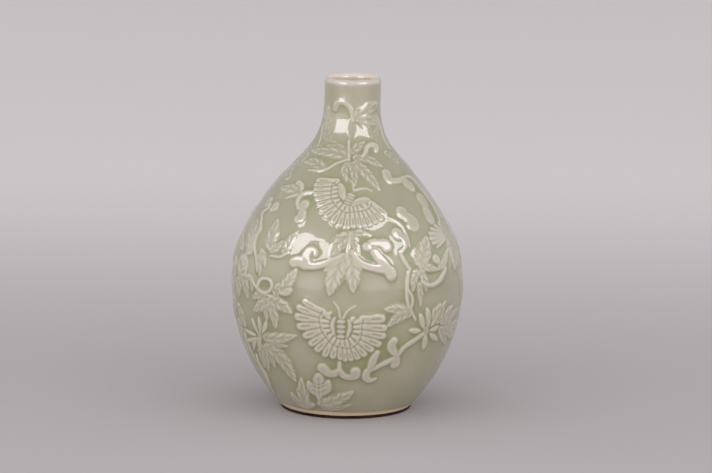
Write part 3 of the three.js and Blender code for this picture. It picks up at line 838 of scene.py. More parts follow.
@dataclass(frozen=True)
class Sprigs:
    """All that is pressed on the wall, from the neck to the foot, in the order it is laid.

    Attributes:
        neck_and_shoulder: Sprays round the neck and on the shoulder.
        left_side: Leaves, hooks and the vine left of the butterflies.
        lower_left: The flower on the left with its leaves, and the vine at the edge.
        centre: The spray between the butterflies, with a scroll arm on either side.
        right_side: Scrolls, vine and leaves right of the butterflies.
        lower_right: The flower on the right, the cluster beside it and the branch of scrolls.
        foot: The double scroll under the butterfly and the leaves at the foot.
        butterflies: The two butterflies.
    """

    neck_and_shoulder: Sequence[Motif] = (
        pad((352.5, 121), (351.5, 113), (348.5, 106.5), (343, 102.5), (337.5, 103.5), (335.3, 109),
            wide=(1.8, 2.4, 2.9, 3.0, 3.2, 2.8), lift=0.7),
        Leaf([(354, 119), (364, 113), (377, 103)], 8.6, 3, 0.72),
        Leaf([(357, 119), (368, 120.5), (378, 124)], 5.6, 3, 0.66),
        Leaf([(360, 121), (366, 128), (372, 138)], 4.4, 3, 0.5),
        Leaf([(354, 120), (354.5, 129), (354, 139)], 3.4, 3, 0.45),
        Leaf([(351, 119), (349.5, 127), (348.5, 137)], 3.0, 3, 0.45),
        stem((352.5, 119), (350.5, 130), (349.5, 142), wide=1.2, lift=0.35),
        Leaf([(372, 112), (376, 120), (377, 129)], 3.2, 3, 0.6),
        stem((377, 118), (380, 128), (383, 138), (389, 148), wide=1.3, lift=0.7),
        Leaf([(378, 126), (375, 134), (376, 143)], 3.2, 3, 0.6),
        Leaf([(330, 140), (327, 132), (328, 122)], 4.4, 3, 0.6),
        Leaf([(331, 122), (327, 116), (329, 107)], 3.6, 3, 0.55),
        stem((323, 126), (321.5, 136), (318, 147), wide=1.2, lift=0.65),
        Leaf([(322, 134), (329, 140), (338, 143)], 3.0, 3, 0.6),
        Leaf([(321, 146), (314, 148), (306, 153)], 3.4, 3, 0.7),
        stem((348.5, 141), (348.5, 150), (348.5, 161), wide=1.9, lift=0.85),
        Leaf([(349, 158), (332, 153), (311, 151)], 6.4, 5, 0.95),
        Leaf([(347, 151), (338, 147), (327, 146)], 3.6, 3, 0.85),
        Leaf([(351, 153), (356, 148), (364, 142)], 5.0, 3, 0.95),
        pad((361.5, 158), (364.8, 152.5), (366.3, 147.5), (370.5, 144.5), (375, 146), (375.5, 150),
            wide=(1.6, 2.2, 2.6, 2.8, 3.0, 2.6), lift=1.05),
        Leaf([(353, 158), (367, 159), (382, 167)], 5.4, 4, 1.0),
        Leaf([(354, 162), (366, 174), (379, 190)], 6.4, 5, 1.05),
        Leaf([(350.5, 163), (353.5, 174), (354, 187)], 4.6, 4, 1.0),
        Leaf([(347.5, 163), (344, 171), (346, 182)], 4.2, 3, 1.0),
        stem((347, 160.5), (337, 163.5), (327, 169.5), (318, 171.5), (308, 171), wide=1.7, lift=0.95),
        Leaf([(324, 170.5), (314, 163), (304, 163)], 6.4, 4, 0.95),
        Leaf([(288, 180), (290, 172), (297, 164)], 4.6, 3, 0.9),
        Leaf([(299, 163), (305, 157), (308, 150)], 4.0, 3, 0.8),
        Leaf([(384, 152), (391, 156), (398, 163)], 4.4, 3, 0.85),
    )
    left_side: Sequence[Motif] = (
        Leaf([(301, 195), (291, 190), (280, 189)], 6.4, 3, 1.1),
        pad((302, 190), (301, 186), (298, 184), wide=(2.0, 3.0, 3.6), lift=1.1),
        stem((302, 196), (294, 197), (286, 199), wide=1.6),
        pad((314, 193), (306, 193.5), (300.5, 197), (298, 203), (299, 209),
            wide=(1.6, 2.2, 2.4, 2.4, 2.2), lift=1.1),
        pad((302, 209), (304, 206.5), (304.5, 205.5), wide=(3.4, 5.2, 5.0)),
        pad((302.5, 208), (302.5, 214), (301, 219), (298.5, 220), wide=(3.2, 3.4, 4.8, 5.2, 5.0)),
        pad((272, 211), (275.5, 208), (275.5, 206.5), wide=(2.2, 3.6, 3.4), lift=1.1),
        pad((270, 207), (269, 204), (271, 201.5), wide=(3.4, 3.6, 2.2), lift=1.05),
        stem((270, 209), (263.5, 214), (262, 222), (261, 230), (257, 238), (255.3, 247), (257, 260),
             (258, 272), wide=1.9),
        Leaf([(271, 250), (273, 236), (278.5, 220)], 6.0, 3),
        Leaf([(262, 250), (264.5, 259), (265.5, 268)], 3.2, 2, 1.05),
        Leaf([(259, 256), (260.5, 266), (260, 277)], 3.0, 2, 1.0),
        Leaf([(271, 252), (278, 248), (284, 242)], 4.6, 3, 1.05),
        Leaf([(285, 254), (290, 243), (299, 231)], 5.6, 4),
        stem((289, 254), (280, 258), (271, 257), wide=1.7),
        Leaf([(251, 254), (252, 238), (258, 221)], 6.6, 4, 0.95),
        Leaf([(243, 250), (243, 238), (248, 224)], 5.0, 3, 0.85),
        Leaf([(246, 276), (243, 268), (247, 259)], 6.4, 3, 1.1),
        Leaf([(246, 277), (247, 288), (249, 299)], 4.4, 3, 1.1),
        Leaf([(243, 277), (240, 286), (240, 297)], 4.6, 3, 1.1),
        Leaf([(249, 276), (253, 283), (253, 292)], 3.2, 2, 1.0),
        Leaf([(237, 262), (235, 274), (236, 288)], 5.0, 3, 1.0),
        stem((258, 290), (261, 281.5), (266.5, 279.5), (271.5, 282.5), (272.5, 289), (268, 293.5),
             (261, 292), wide=1.8),
        stem((253, 281), (258, 289), (266, 295), (275, 298), wide=1.7),
        Leaf([(282, 294), (289, 283), (297.5, 269.5)], 6.6, 4),
        pad((282, 294), (288, 294), (291, 291), wide=(2.0, 2.8, 2.6), lift=1.1),
        Leaf([(278, 297), (277, 290), (281, 284)], 3.8, 2, 1.05),
        Leaf([(270, 301), (281, 305), (293, 313.5)], 7.4, 4),
        Leaf([(272, 303), (275, 315), (277, 329)], 5.2, 3),
        Leaf([(270, 302), (263, 306), (255, 312)], 6.2, 3, 1.1),
        Leaf([(266, 298), (260, 296), (254, 299)], 5.0, 3, 1.05),
        Leaf([(267, 306), (267.5, 313), (268, 321)], 3.4, 2, 1.05),
        Leaf([(239, 306), (243, 316), (247, 328)], 5.0, 3, 1.0),
        Leaf([(236, 300), (236, 310), (238, 322)], 4.4, 3, 0.95),
    )
    lower_left: Sequence[Motif] = (
        pad((261.5, 335), (261.5, 338), wide=(2.6,), lift=0.7),
        *flower(2.4,
            ((260, 334), (256.5, 327), (253, 319)), ((262, 333), (261.5, 326), (260, 318)),
            ((264, 334), (266.5, 328), (268, 321.5)), ((258, 336), (252, 334), (246, 330)),
            ((258, 338), (253, 341), (247, 341)), ((262, 338), (261, 344), (262, 351)),
            ((260, 338), (256, 344), (255, 351))),
        Leaf([(265, 338), (281, 339), (298, 336)], 6.6, 4),
        Leaf([(267, 342), (278, 345), (289, 347)], 4.0, 3, 1.1),
        Leaf([(269, 346), (284, 361), (297, 382)], 8.6, 5),
        Leaf([(267, 345), (272, 356), (276, 368)], 4.4, 3, 1.1),
        Leaf([(264, 346), (267, 358), (270, 372)], 4.0, 3, 1.1),
        Leaf([(261, 350), (264, 359), (266, 368)], 3.4, 3, 1.05),
        stem((247, 334), (249, 342), (253, 352), (261, 366), (268, 379), (275, 394), wide=1.7),
        stem((258, 356), (261, 364), (267, 374), (271, 384), wide=1.6),
        Leaf([(241, 322), (243, 331), (249, 341)], 4.0, 3, 0.95),
        Leaf([(247, 346), (251, 354), (256, 362)], 3.0, 2, 0.9),
    )
    centre: Sequence[Motif] = (
        pad((340, 257), (331, 261.5), (322, 265), (314, 266.5), (306, 265.5), (299, 262), (294.5, 263),
            wide=(2.4, 3.4, 3.8, 4.0, 4.4, 5.6, 5.8)),
        pad((306, 264), (306.5, 257), (309, 252), (311.5, 250.5), wide=(6.6, 5.2, 4.8, 4.4)),
        pad((309, 250.5), (313.5, 250), (316, 252.5), (315.6, 255.5), wide=(3.6, 3.4, 2.8, 2.4)),
        pad((352, 252), (357, 260), (365, 265.5), (376, 268), (386, 269), (391, 273),
            wide=(2.6, 3.8, 4.0, 4.2, 5.2, 6.0)),
        pad((390.5, 272), (391.3, 274.5), wide=(6.0, 5.8)),
        pad((374.5, 252), (379, 258), (384, 263.5), (388, 269), wide=(4.6, 5.0, 4.8, 4.4)),
        pad((366.8, 246.6), (367.2, 246.8), wide=(4.8,)),
        pad((371, 243), (375, 242.8), (379, 243.5), wide=(4.0, 4.8, 3.8)),
        pad((379, 243), (384.5, 244), (386.3, 246.5), wide=(4.4, 6.0, 6.0)),
        Leaf([(352, 235), (341, 241), (329, 258)], 8.4, 4),
        Leaf([(350, 236), (359, 233), (371, 235)], 4.4, 3, 1.15),
        Leaf([(352, 238), (355, 246), (358, 254)], 4.6, 3, 1.05),
        Leaf([(345, 256), (336, 274), (329.5, 296)], 10.5, 4),
        Leaf([(350, 254), (353, 270), (353.5, 293)], 9.0, 4),
        Leaf([(344, 258), (333, 264), (325, 272)], 4.6, 3, 1.15),
        stem((350, 234), (349, 245), (347, 257), wide=1.7, lift=1.2),
    )
    right_side: Sequence[Motif] = (
        pad((385.5, 173.5), (386.5, 177.5), (391, 180.5), (397, 180.5), (403, 179),
            wide=(4.6, 4.6, 4.0, 3.6, 2.8)),
        pad((402, 179), (405, 183), (409.5, 186.5), wide=(2.4, 4.6, 5.0)),
        stem((399, 178), (407, 176), (413, 180), (421, 190), (430, 202), (436, 213), (439, 222),
             wide=1.8),
        pad((420.5, 199), (423, 203), (424.5, 208), (427, 213), (429, 217),
            wide=(4.0, 3.8, 2.6, 4.0, 4.2)),
        pad((400.5, 211.5), (401.5, 212), wide=(6.4,)),
        pad((402, 213), (407, 216.5), (411.5, 221), (412.5, 224), wide=(4.4, 4.8, 6.0, 6.2)),
        stem((386, 217), (394, 220), (401, 225), (405.5, 234), (409, 246), wide=1.6),
        pad((396, 233), (397.5, 234), wide=(6.0, 6.2)),
        pad((398, 235), (403, 238), (404.8, 242), (404.5, 247), (400.5, 252),
            wide=(4.4, 4.4, 2.8, 2.2, 2.6), lift=1.15),
        stem((399, 251), (404, 260), (409, 268), wide=2.2),
        stem((410, 268), (407.5, 277), (407, 290), (407.5, 300), (409, 307), wide=2.2),
        stem((408, 289), (412, 296), (412.5, 303), (411, 309), (416, 319), wide=1.7),
        Leaf([(420, 264), (423.5, 251), (426, 236)], 8.4, 4),
        Leaf([(419, 264), (415.5, 256), (414.5, 247)], 4.0, 3, 1.1),
        Leaf([(421, 263), (427, 257), (430, 251)], 3.6, 2, 1.1),
        *[pad((446, 234), (x, y), wide=(0.8, 1.8, w, w), lift=1.0) for x, y, w in (
            (438.5, 223.5, 2.2), (434, 225, 2.3), (431, 228.5, 2.4), (429.5, 233, 2.5), (430, 238, 2.5),
            (432.5, 242.5, 2.4), (437, 246, 2.2))],
        Leaf([(438, 268), (444, 260), (447, 247)], 4.6, 4),
        pad((435, 258), (436.5, 259), wide=(4.6,), lift=1.2),
        pad((422, 281), (428, 284.5), (435, 283), (441, 277), (445, 268), wide=(1.6, 2.2, 2.8, 3.4, 2.6)),
        Leaf([(419, 267), (428, 267), (438, 269)], 4.6, 3, 1.1),
        Leaf([(417, 270), (414, 280), (413, 291)], 4.2, 3),
        Leaf([(420, 270), (424, 279), (426.5, 290)], 4.0, 3),
        Leaf([(419, 282), (420.5, 293), (421, 305)], 3.4, 3, 1.1),
        Leaf([(449, 234), (453, 250), (454, 268)], 8.0, 4, 1.05),
        Leaf([(441, 218), (446, 226), (450, 235)], 6.0, 3, 0.95),
        Leaf([(457, 238), (460, 252), (461, 268)], 6.0, 4, 1.0),
        Leaf([(461, 272), (462, 286), (461, 302)], 6.0, 4, 1.0),
    )
    lower_right: Sequence[Motif] = (
        pad((426, 328), (426.5, 331), wide=(3.0,), lift=0.7),
        *flower(3.2,
            ((424, 327), (422.5, 321), (420, 313)), ((428, 326), (428.5, 317), (427, 307)),
            ((431, 325), (434.5, 319), (438, 311)), ((430, 329), (434, 328), (439, 325)),
            ((430, 332), (433.5, 335.5), (438, 339)), ((425, 333), (425, 341), (423.5, 349)),
            ((421, 330), (416, 330), (409.5, 329.5))),
        Leaf([(434, 318), (436, 311), (441, 303)], 4.2, 2, 1.1),
        Leaf([(437, 321), (441, 311), (446, 300)], 4.6, 3, 1.1),
        Leaf([(441, 322), (447, 313), (453, 304)], 5.0, 3, 1.1),
        Leaf([(444, 324), (451, 316), (457, 307)], 5.2, 3, 1.05),
        Leaf([(445, 327), (452, 324), (459, 318)], 5.0, 3, 1.0),
        Leaf([(443, 327), (449, 331), (453, 338)], 5.0, 3, 1.0),
        Leaf([(440, 326), (443, 334), (446, 343)], 4.6, 3, 1.05),
        Leaf([(411, 312), (400, 316), (388, 326)], 6.4, 4),
        Leaf([(409, 311), (397, 309), (385, 309)], 6.0, 3, 1.1),
        pad((423, 333), (414, 340), (404, 347), (396, 356), (385, 362.5), (374, 368),
            wide=(2.6, 3.0, 2.8, 2.8, 3.2, 3.0), lift=1.1),
        pad((397, 355), (392.5, 348), (392.5, 343), (394.5, 340.5), wide=(2.0, 4.0, 4.8, 4.4)),
        pad((397, 356), (395.8, 361.5), (395.5, 363.3), wide=(2.4, 4.6, 5.0)),
        pad((371, 366), (374, 358.5), (377.5, 352.5), wide=(3.6, 4.6, 4.0, 3.2)),
        pad((372.5, 367), (367.5, 371.5), (366.3, 376.5), (370, 379.8), (375.5, 378.5),
            wide=(3.4, 4.2, 4.2, 3.8, 2.0)),
    )
    foot: Sequence[Motif] = (
        stem((340.3, 362), (340, 371), wide=2.4),
        pad((339.5, 370), (334, 373.5), (328, 372), (323.5, 368), wide=(2.8, 4.2, 4.8, 5.6, 6.0)),
        pad((340, 369), (344, 375), (350, 376.8), (355.5, 375), (356, 371),
            wide=(2.6, 3.6, 4.0, 5.0, 5.6)),
        pad((319.5, 387), (319.5, 381), (320, 373.5), wide=(4.4, 6.0, 6.2, 5.0, 1.0), lift=1.05),
        pad((319, 394), (313.5, 389.5), (309.3, 382), wide=(3.2, 5.6, 6.0, 4.6, 1.4), lift=1.05),
        pad((320, 394), (326, 388.5), (329, 381), wide=(3.2, 5.6, 6.2, 5.0, 2.0), lift=1.05),
        pad((319.5, 391), (319, 399.5), wide=(5.6, 3.8, 0.8)),
        *[Groove(track, 0.5, 0.6) for track in (
            [(319.6, 396), (319.7, 378)], [(319.5, 387.5), (311, 384.8)], [(319.8, 387.3), (328, 384.2)],
            [(312.5, 381.5), (319.5, 384.3), (326, 381.5)], [(319.5, 392), (313, 389.5)],
            [(319.8, 392), (327, 389)])],
        Leaf([(306.5, 409), (303.5, 396), (302, 378)], 7.4, 3, 1.1, 0.4),
        Leaf([(305, 408), (298, 402), (291.5, 392.5)], 5.6, 2, 1.05, 0.4),
        pad((305, 407.5), (312.5, 404.5), wide=(2.4, 4.2, 4.4, 3.4), lift=0.85),
        Leaf([(319, 404), (336, 400), (354, 391)], 9.4, 4, 1.1, 0.4),
        Leaf([(322, 408), (337, 408), (352, 404)], 4.6, 4, 0.95),
    )
    butterflies: Sequence[Butterfly] = (UPPER_BUTTERFLY, LOWER_BUTTERFLY)

    def all(self) -> Iterable[Motif | Butterfly]:
        """Every sprig in the order it is pressed."""
        return chain.from_iterable(getattr(self, group.name) for group in fields(self))


class Way(Enum):
    """Which side of a node group a socket is on."""

    IN = "INPUT"
    OUT = "OUTPUT"


def group_socket(
    group: bpy.types.NodeTree, name: str, way: Way, kind: str = "NodeSocketFloat",
    value: float | None = None,
) -> None:
    """Adds a named socket to a node group.

    Args:
        group: The group.
        name: The socket's name.
        way: The side it is on.
        kind: The socket's class.
        value: Its default, where it has one.
    """
    socket = group.interface.new_socket(name=name, in_out=way.value, socket_type=kind)
    if value is not None:
        socket.default_value = value


class Bench:
    """Adds nodes to a tree and links them, with inputs given as values or as sockets."""

    def __init__(self, tree: bpy.types.NodeTree) -> None:
        """Holds the tree."""
        self.tree = tree

    def add(self, kind: str, inputs: dict | None = None, **settings: object) -> bpy.types.Node:
        """Adds one node.

        Args:
            kind: The node's class.
            inputs: Values or sockets by input name or number.
            settings: Properties of the node.

        Returns:
            The new node.
        """
        node = self.tree.nodes.new(kind)
        for key, value in settings.items():
            setattr(node, key, value)
        for key, value in (inputs or {}).items():
            if isinstance(value, bpy.types.NodeSocket):
                self.tree.links.new(value, node.inputs[key])
            else:
                node.inputs[key].default_value = value
        return node

    def math(self, operation: str, *values: Value) -> bpy.types.NodeSocket:
        """A Math node's result in either kind of tree."""
        return self.add("ShaderNodeMath", dict(enumerate(values)), operation=operation).outputs[0]

    def span(self, value: Value, low: Value, high: Value) -> bpy.types.NodeSocket:
        """A value's smooth share of the way from low to high."""
        node = self.add(
            "ShaderNodeMapRange", {"Value": value, "From Min": low, "From Max": high},
            interpolation_type="SMOOTHSTEP",
        )
        return node.outputs["Result"]

    def scaled(self, value: Value, factor: Value) -> bpy.types.NodeSocket:
        """A value multiplied by another."""
        return self.math("MULTIPLY", value, factor)

    def rest(self, share: Value) -> bpy.types.NodeSocket:
        """What a share leaves of one."""
        return self.math("SUBTRACT", 1.0, share)

    def blend(
        self, share: Value, first: Value | Colour, second: Value | Colour
    ) -> bpy.types.NodeSocket:
        """Two colours mixed by a share."""
        node = self.add("ShaderNodeMix", {0: share, 6: first, 7: second}, data_type="RGBA")
        return node.outputs[2]


def turning_tree() -> bpy.types.NodeTree:
    """The tree that turns a developed wall into a pot.

    The wall comes in as a sheet whose points hold how far round and how far along the line they are,
    and how far the relief lifts them. The tree lays them on the line, lifts them square to it, adds
    the thrower's ridges and the unevenness of the hand, and dresses the result.
    """
    tree = bpy.data.node_groups.new("turn_the_wall", "GeometryNodeTree")
    group_socket(tree, "Wall", Way.IN, "NodeSocketGeometry")
    group_socket(tree, "Line", Way.IN, "NodeSocketObject")
    for name in (
        "Relief", "Ridge Height", "Ridge Pitch", "Unevenness", "Neck Lean", "Lean From", "Lean To",
    ):
        group_socket(tree, name, Way.IN)
    group_socket(tree, "Finish", Way.IN, "NodeSocketMaterial")
    group_socket(tree, "Pot", Way.OUT, "NodeSocketGeometry")
    bench = Bench(tree)
    given = bench.add("NodeGroupInput").outputs

    def stored(name: str) -> bpy.types.NodeSocket:
        """A number held by the wall's points."""
        return bench.add("GeometryNodeInputNamedAttribute", {"Name": name}, data_type="FLOAT").outputs[0]

    def wander(across: float, along: bpy.types.NodeSocket, detail: float) -> bpy.types.NodeSocket:
        """A noise about nought that keeps its place round the wall."""
        at = bench.add("ShaderNodeCombineXYZ", {
            0: bench.scaled(sine, across), 1: bench.scaled(cosine, -across), 2: along})
        noise = bench.add(
            "ShaderNodeTexNoise", {"Vector": at.outputs[0], "Scale": 1.0, "Detail": detail},
            noise_dimensions="3D",
        )
        return bench.math("SUBTRACT", noise.outputs[0], 0.5)

    turn, run, lift = stored("turn"), stored("run"), stored("lift")
    curve = bench.add("GeometryNodeObjectInfo", {"Object": given["Line"]}).outputs["Geometry"]
    sample = bench.add(
        "GeometryNodeSampleCurve", {"Curves": curve, "Length": run}, mode="LENGTH", use_all_curves=True
    )
    place = bench.add("ShaderNodeSeparateXYZ", {0: sample.outputs["Position"]}).outputs
    along = bench.add("ShaderNodeSeparateXYZ", {0: sample.outputs["Tangent"]}).outputs
    sine, cosine = bench.math("SINE", turn), bench.math("COSINE", turn)
    ridges = wander(RIDGE_WANDER, bench.math("DIVIDE", run, given["Ridge Pitch"]), 1.0)
    hand = wander(HAND_ROUND, bench.scaled(run, HAND_ALONG), 2.0)
    thrown = bench.math(
        "ADD", bench.scaled(ridges, given["Ridge Height"]), bench.scaled(hand, given["Unevenness"])
    )
    out = bench.math("ADD", bench.scaled(lift, given["Relief"]), thrown)
    radius = bench.math("ADD", place[0], bench.scaled(along[2], out))
    height = bench.math("SUBTRACT", place[2], bench.scaled(along[0], out))
    share = bench.span(height, given["Lean From"], given["Lean To"])
    put = bench.add("ShaderNodeCombineXYZ", {
        0: bench.math("MULTIPLY_ADD", share, given["Neck Lean"], bench.scaled(radius, sine)),
        1: bench.scaled(bench.scaled(radius, cosine), -1.0), 2: height,
    })
    shaped = bench.add(
        "GeometryNodeSetPosition", {"Geometry": given["Wall"], "Position": put.outputs[0]}
    ).outputs[0]
    closed = bench.add("GeometryNodeMergeByDistance", {"Geometry": shaped, "Distance": 1e-6}).outputs[0]
    whole = bench.add("GeometryNodeRealizeInstances", {0: closed}).outputs[0]
    dressed = bench.add("GeometryNodeSetMaterial", {"Geometry": whole, "Material": given["Finish"]})
    bench.add("NodeGroupOutput", {0: dressed.outputs[0]})
    return tree


def sheet_mesh(
    name: str, rows: int, columns: int, wraps: bool = True, closes: bool = False
) -> bpy.types.Mesh:
    """A mesh of quads, rows by columns, whose points are still all at the origin.

    Args:
        name: The mesh's name.
        rows: Points along the line.
        columns: Points round it.
        wraps: Whether the last column joins the first.
        closes: Whether the last row joins the first.

    Returns:
        The new mesh.
    """
    mesh = bpy.data.meshes.new(name)
    lattice = np.arange(rows * columns).reshape(rows, columns)
    if wraps:
        lattice = np.hstack([lattice, lattice[:, :1]])
    if closes:
        lattice = np.vstack([lattice, lattice[:1]])
    left, right = lattice[:, :-1], lattice[:, 1:]
    quads = np.stack([left[:-1], right[:-1], right[1:], left[1:]], axis=-1).reshape(-1, 4)
    mesh.vertices.add(rows * columns)
    mesh.loops.add(quads.size)
    mesh.loops.foreach_set("vertex_index", quads.ravel().astype(np.int32))
    mesh.polygons.add(len(quads))
    mesh.polygons.foreach_set("loop_start", np.arange(0, quads.size, 4, dtype=np.int32))
    mesh.update(calc_edges=True)
    return mesh


def store(mesh: bpy.types.Mesh, **numbers: np.ndarray) -> None:
    """Stores a number of each name on a mesh's points."""
    for name, values in numbers.items():
        layer = mesh.attributes.new(name, "FLOAT", "POINT")
        layer.data.foreach_set("value", np.ascontiguousarray(values, dtype=np.float32).ravel())


def stored(mesh: bpy.types.Mesh, name: str) -> np.ndarray:
    """The numbers stored under a name on a mesh's points."""
    values = np.zeros(len(mesh.vertices), np.float32)
    mesh.attributes[name].data.foreach_get("value", values)
    return values


def add_object(name: str, data: bpy.types.ID | None) -> bpy.types.Object:
    """A new object in the scene, at the origin."""
    made = bpy.data.objects.new(name, data)
    bpy.context.scene.collection.objects.link(made)
    return made


@dataclass
class Wheel:
    """Turns sheets on lines with the one tree.

    Attributes:
        tree: The tree that does it.
        relief: Share of the drawn relief that shows through the glaze.
        ridge_height: Height of the thrower's ridges.
        ridge_pitch: Distance between them.
        unevenness: How far the wall strays from its line.
        neck_lean: How far the mouth stands to the right of the foot.
        lean_span: Heights between which the neck leans over.
    """

    tree: bpy.types.NodeTree
    relief: float = 1.0
    ridge_height: float = 0.035
    ridge_pitch: float = 3.4
    unevenness: float = 0.16
    neck_lean: float = 2.4
    lean_span: Point = (140.0, 236.0)

    def turn(
        self, name: str, line: np.ndarray, columns: int, finish: bpy.types.Material,
        numbers: dict[str, np.ndarray] | None = None, even: bool = False, closes: bool = False,
    ) -> bpy.types.Mesh:
        """Turns one wall.

        Args:
            name: The name of the wall.
            line: Radius and height of its rows, the clay on the left of the way it runs.
            columns: Points round it.
            finish: Its material.
            numbers: More numbers for its points, lift among them.
            even: Whether ridges and unevenness are left out.
            closes: Whether the line's end joins its start.

        Returns:
            A plain mesh in place.
        """
        run = run_along(line)
        angles = -math.pi / 2 + np.arange(columns) * 2 * math.pi / columns
        shape = (len(line), columns)
        sheet = sheet_mesh(name + "_sheet", *shape, closes=closes)
        held = {"lift": np.zeros(shape), **(numbers or {})}
        store(
            sheet, turn=np.broadcast_to(angles, shape), run=np.broadcast_to((run * MM)[:, None], shape),
            **held,
        )
        curve = bpy.data.curves.new(name + "_line", "CURVE")
        curve.dimensions = "3D"
        spline = curve.splines.new("POLY")
        spline.points.add(len(line) - 1)
        flat = np.c_[line[:, 0] * MM, np.zeros(len(line)), line[:, 1] * MM, np.ones(len(line))]
        spline.points.foreach_set("co", flat.ravel())
        path = add_object(name + "_line", curve)
        path.hide_render = True
        blank = add_object(name + "_blank", sheet)
        work = blank.modifiers.new("turning", "NODES")
        work.node_group = self.tree
        wanted = {
            "Line": path, "Relief": self.relief, "Ridge Height": 0.0 if even else self.ridge_height * MM,
            "Ridge Pitch": self.ridge_pitch * MM, "Unevenness": 0.0 if even else self.unevenness * MM,
            "Neck Lean": self.neck_lean * MM, "Lean From": self.lean_span[0] * MM,
            "Lean To": self.lean_span[1] * MM, "Finish": finish,
        }
        for item in self.tree.interface.items_tree:
            if item.in_out == "INPUT" and item.name in wanted:
                work[item.identifier] = wanted[item.name]
        blank.update_tag()
        ready = blank.evaluated_get(bpy.context.evaluated_depsgraph_get())
        mesh = bpy.data.meshes.new_from_object(ready)
        mesh.name = name
        for gone in (blank, path):
            bpy.data.objects.remove(gone)
        bpy.data.meshes.remove(sheet)
        bpy.data.curves.remove(curve)
        return mesh


def srgb(red: float, green: float, blue: float) -> Colour:
    """A colour written from 0 to 255, as the linear colour that nodes take."""
    def linear(value: float) -> float:
        """One channel."""
        share = value / 255
        return share / 12.92 if share <= 0.04045 else ((share + 0.055) / 1.055) ** 2.4

    return (linear(red), linear(green), linear(blue), 1.0)


def firing_group() -> bpy.types.NodeTree:
    """A mask of the soft clouds and fine specks that a kiln leaves in a glaze or a bare clay."""
    group = bpy.data.node_groups.new("kiln_clouds", "ShaderNodeTree")
    group_socket(group, "Cloud Scale", Way.IN, value=30.0)
    group_socket(group, "Speck Scale", Way.IN, value=900.0)
    group_socket(group, "Clouds", Way.OUT)
    group_socket(group, "Specks", Way.OUT)
    bench = Bench(group)
    given = bench.add("NodeGroupInput").outputs
    where = bench.add("ShaderNodeTexCoord").outputs["Object"]
    clouds = bench.add(
        "ShaderNodeTexNoise",
        {"Vector": where, "Scale": given["Cloud Scale"], "Detail": 3.0, "Roughness": 0.55},
    )
    specks = bench.add(
        "ShaderNodeTexNoise", {"Vector": where, "Scale": given["Speck Scale"], "Detail": 1.0}
    )
    bench.add("NodeGroupOutput", {
        "Clouds": bench.span(clouds.outputs[0], 0.3, 0.7),
        "Specks": bench.span(specks.outputs[0], 0.62, 0.78),
    })
    return group


def ripple_group() -> bpy.types.NodeTree:
    """A bump height for the faint orange peel of a thick glaze and the lines of its turning."""
    group = bpy.data.node_groups.new("glaze_ripple", "ShaderNodeTree")
    group_socket(group, "Peel", Way.IN, value=1.0)
    group_socket(group, "Lines", Way.IN, value=1.0)
    group_socket(group, "Height", Way.OUT)
    bench = Bench(group)
    given = bench.add("NodeGroupInput").outputs
    where = bench.add("ShaderNodeTexCoord").outputs["Object"]
    peel = bench.add("ShaderNodeTexNoise", {"Vector": where, "Scale": 260.0, "Detail": 1.0})
    tall = bench.add("ShaderNodeMapping", {"Vector": where, "Scale": (6.0, 6.0, 520.0)}).outputs[0]
    lines = bench.add("ShaderNodeTexNoise", {"Vector": tall, "Scale": 1.0, "Detail": 2.0})
    total = bench.math(
        "ADD", bench.scaled(peel.outputs[0], given["Peel"]),
        bench.scaled(lines.outputs[0], given["Lines"]),
    )
    bench.add("NodeGroupOutput", {"Height": total})
    return group


def rippled(
    bench: Bench, ripple: bpy.types.NodeTree, shares: Point, bump: Point
) -> bpy.types.NodeSocket:
    """The normal of a rippled surface.

    Args:
        bench: Where the material is made.
        ripple: The group of glaze ripple.
        shares: How much of the peel and of the turning lines is in it.
        bump: Strength and depth of the ripple.

    Returns:
        The socket that gives the normal.
    """
    (peel, lines), (strength, depth) = shares, bump
    wave = bench.add("ShaderNodeGroup", {"Peel": peel, "Lines": lines}, node_tree=ripple)
    return bench.add(
        "ShaderNodeBump", {"Strength": strength, "Distance": depth, "Height": wave.outputs["Height"]}
    ).outputs[0]


def material_bench(name: str) -> tuple[bpy.types.Material, Bench]:
    """A new material of a name, and a bench for its empty node tree."""
    made = bpy.data.materials.new(name)
    made.use_nodes = True
    made.node_tree.nodes.clear()
    return made, Bench(made.node_tree)


@dataclass(frozen=True)
class Layer:
    """A colour laid over what lies below where a measure rises from one value to another.

    Attributes:
        colour: The colour.
        low: The measure at which it begins to show.
        high: The measure from which on it shows in full.
        share: How much of what lies below it hides there.
    """

    colour: Colour
    low: float
    high: float
    share: float = 1.0

    def over(self, bench: Bench, measure: Value, below: Value | Colour) -> bpy.types.NodeSocket:
        """Lays the colour over the one below."""
        return bench.blend(self.shown(bench, measure), below, self.colour)

    def shown(self, bench: Bench, measure: Value) -> bpy.types.NodeSocket:
        """How much of what lies below is hidden."""
        return bench.scaled(bench.span(measure, self.low, self.high), self.share)


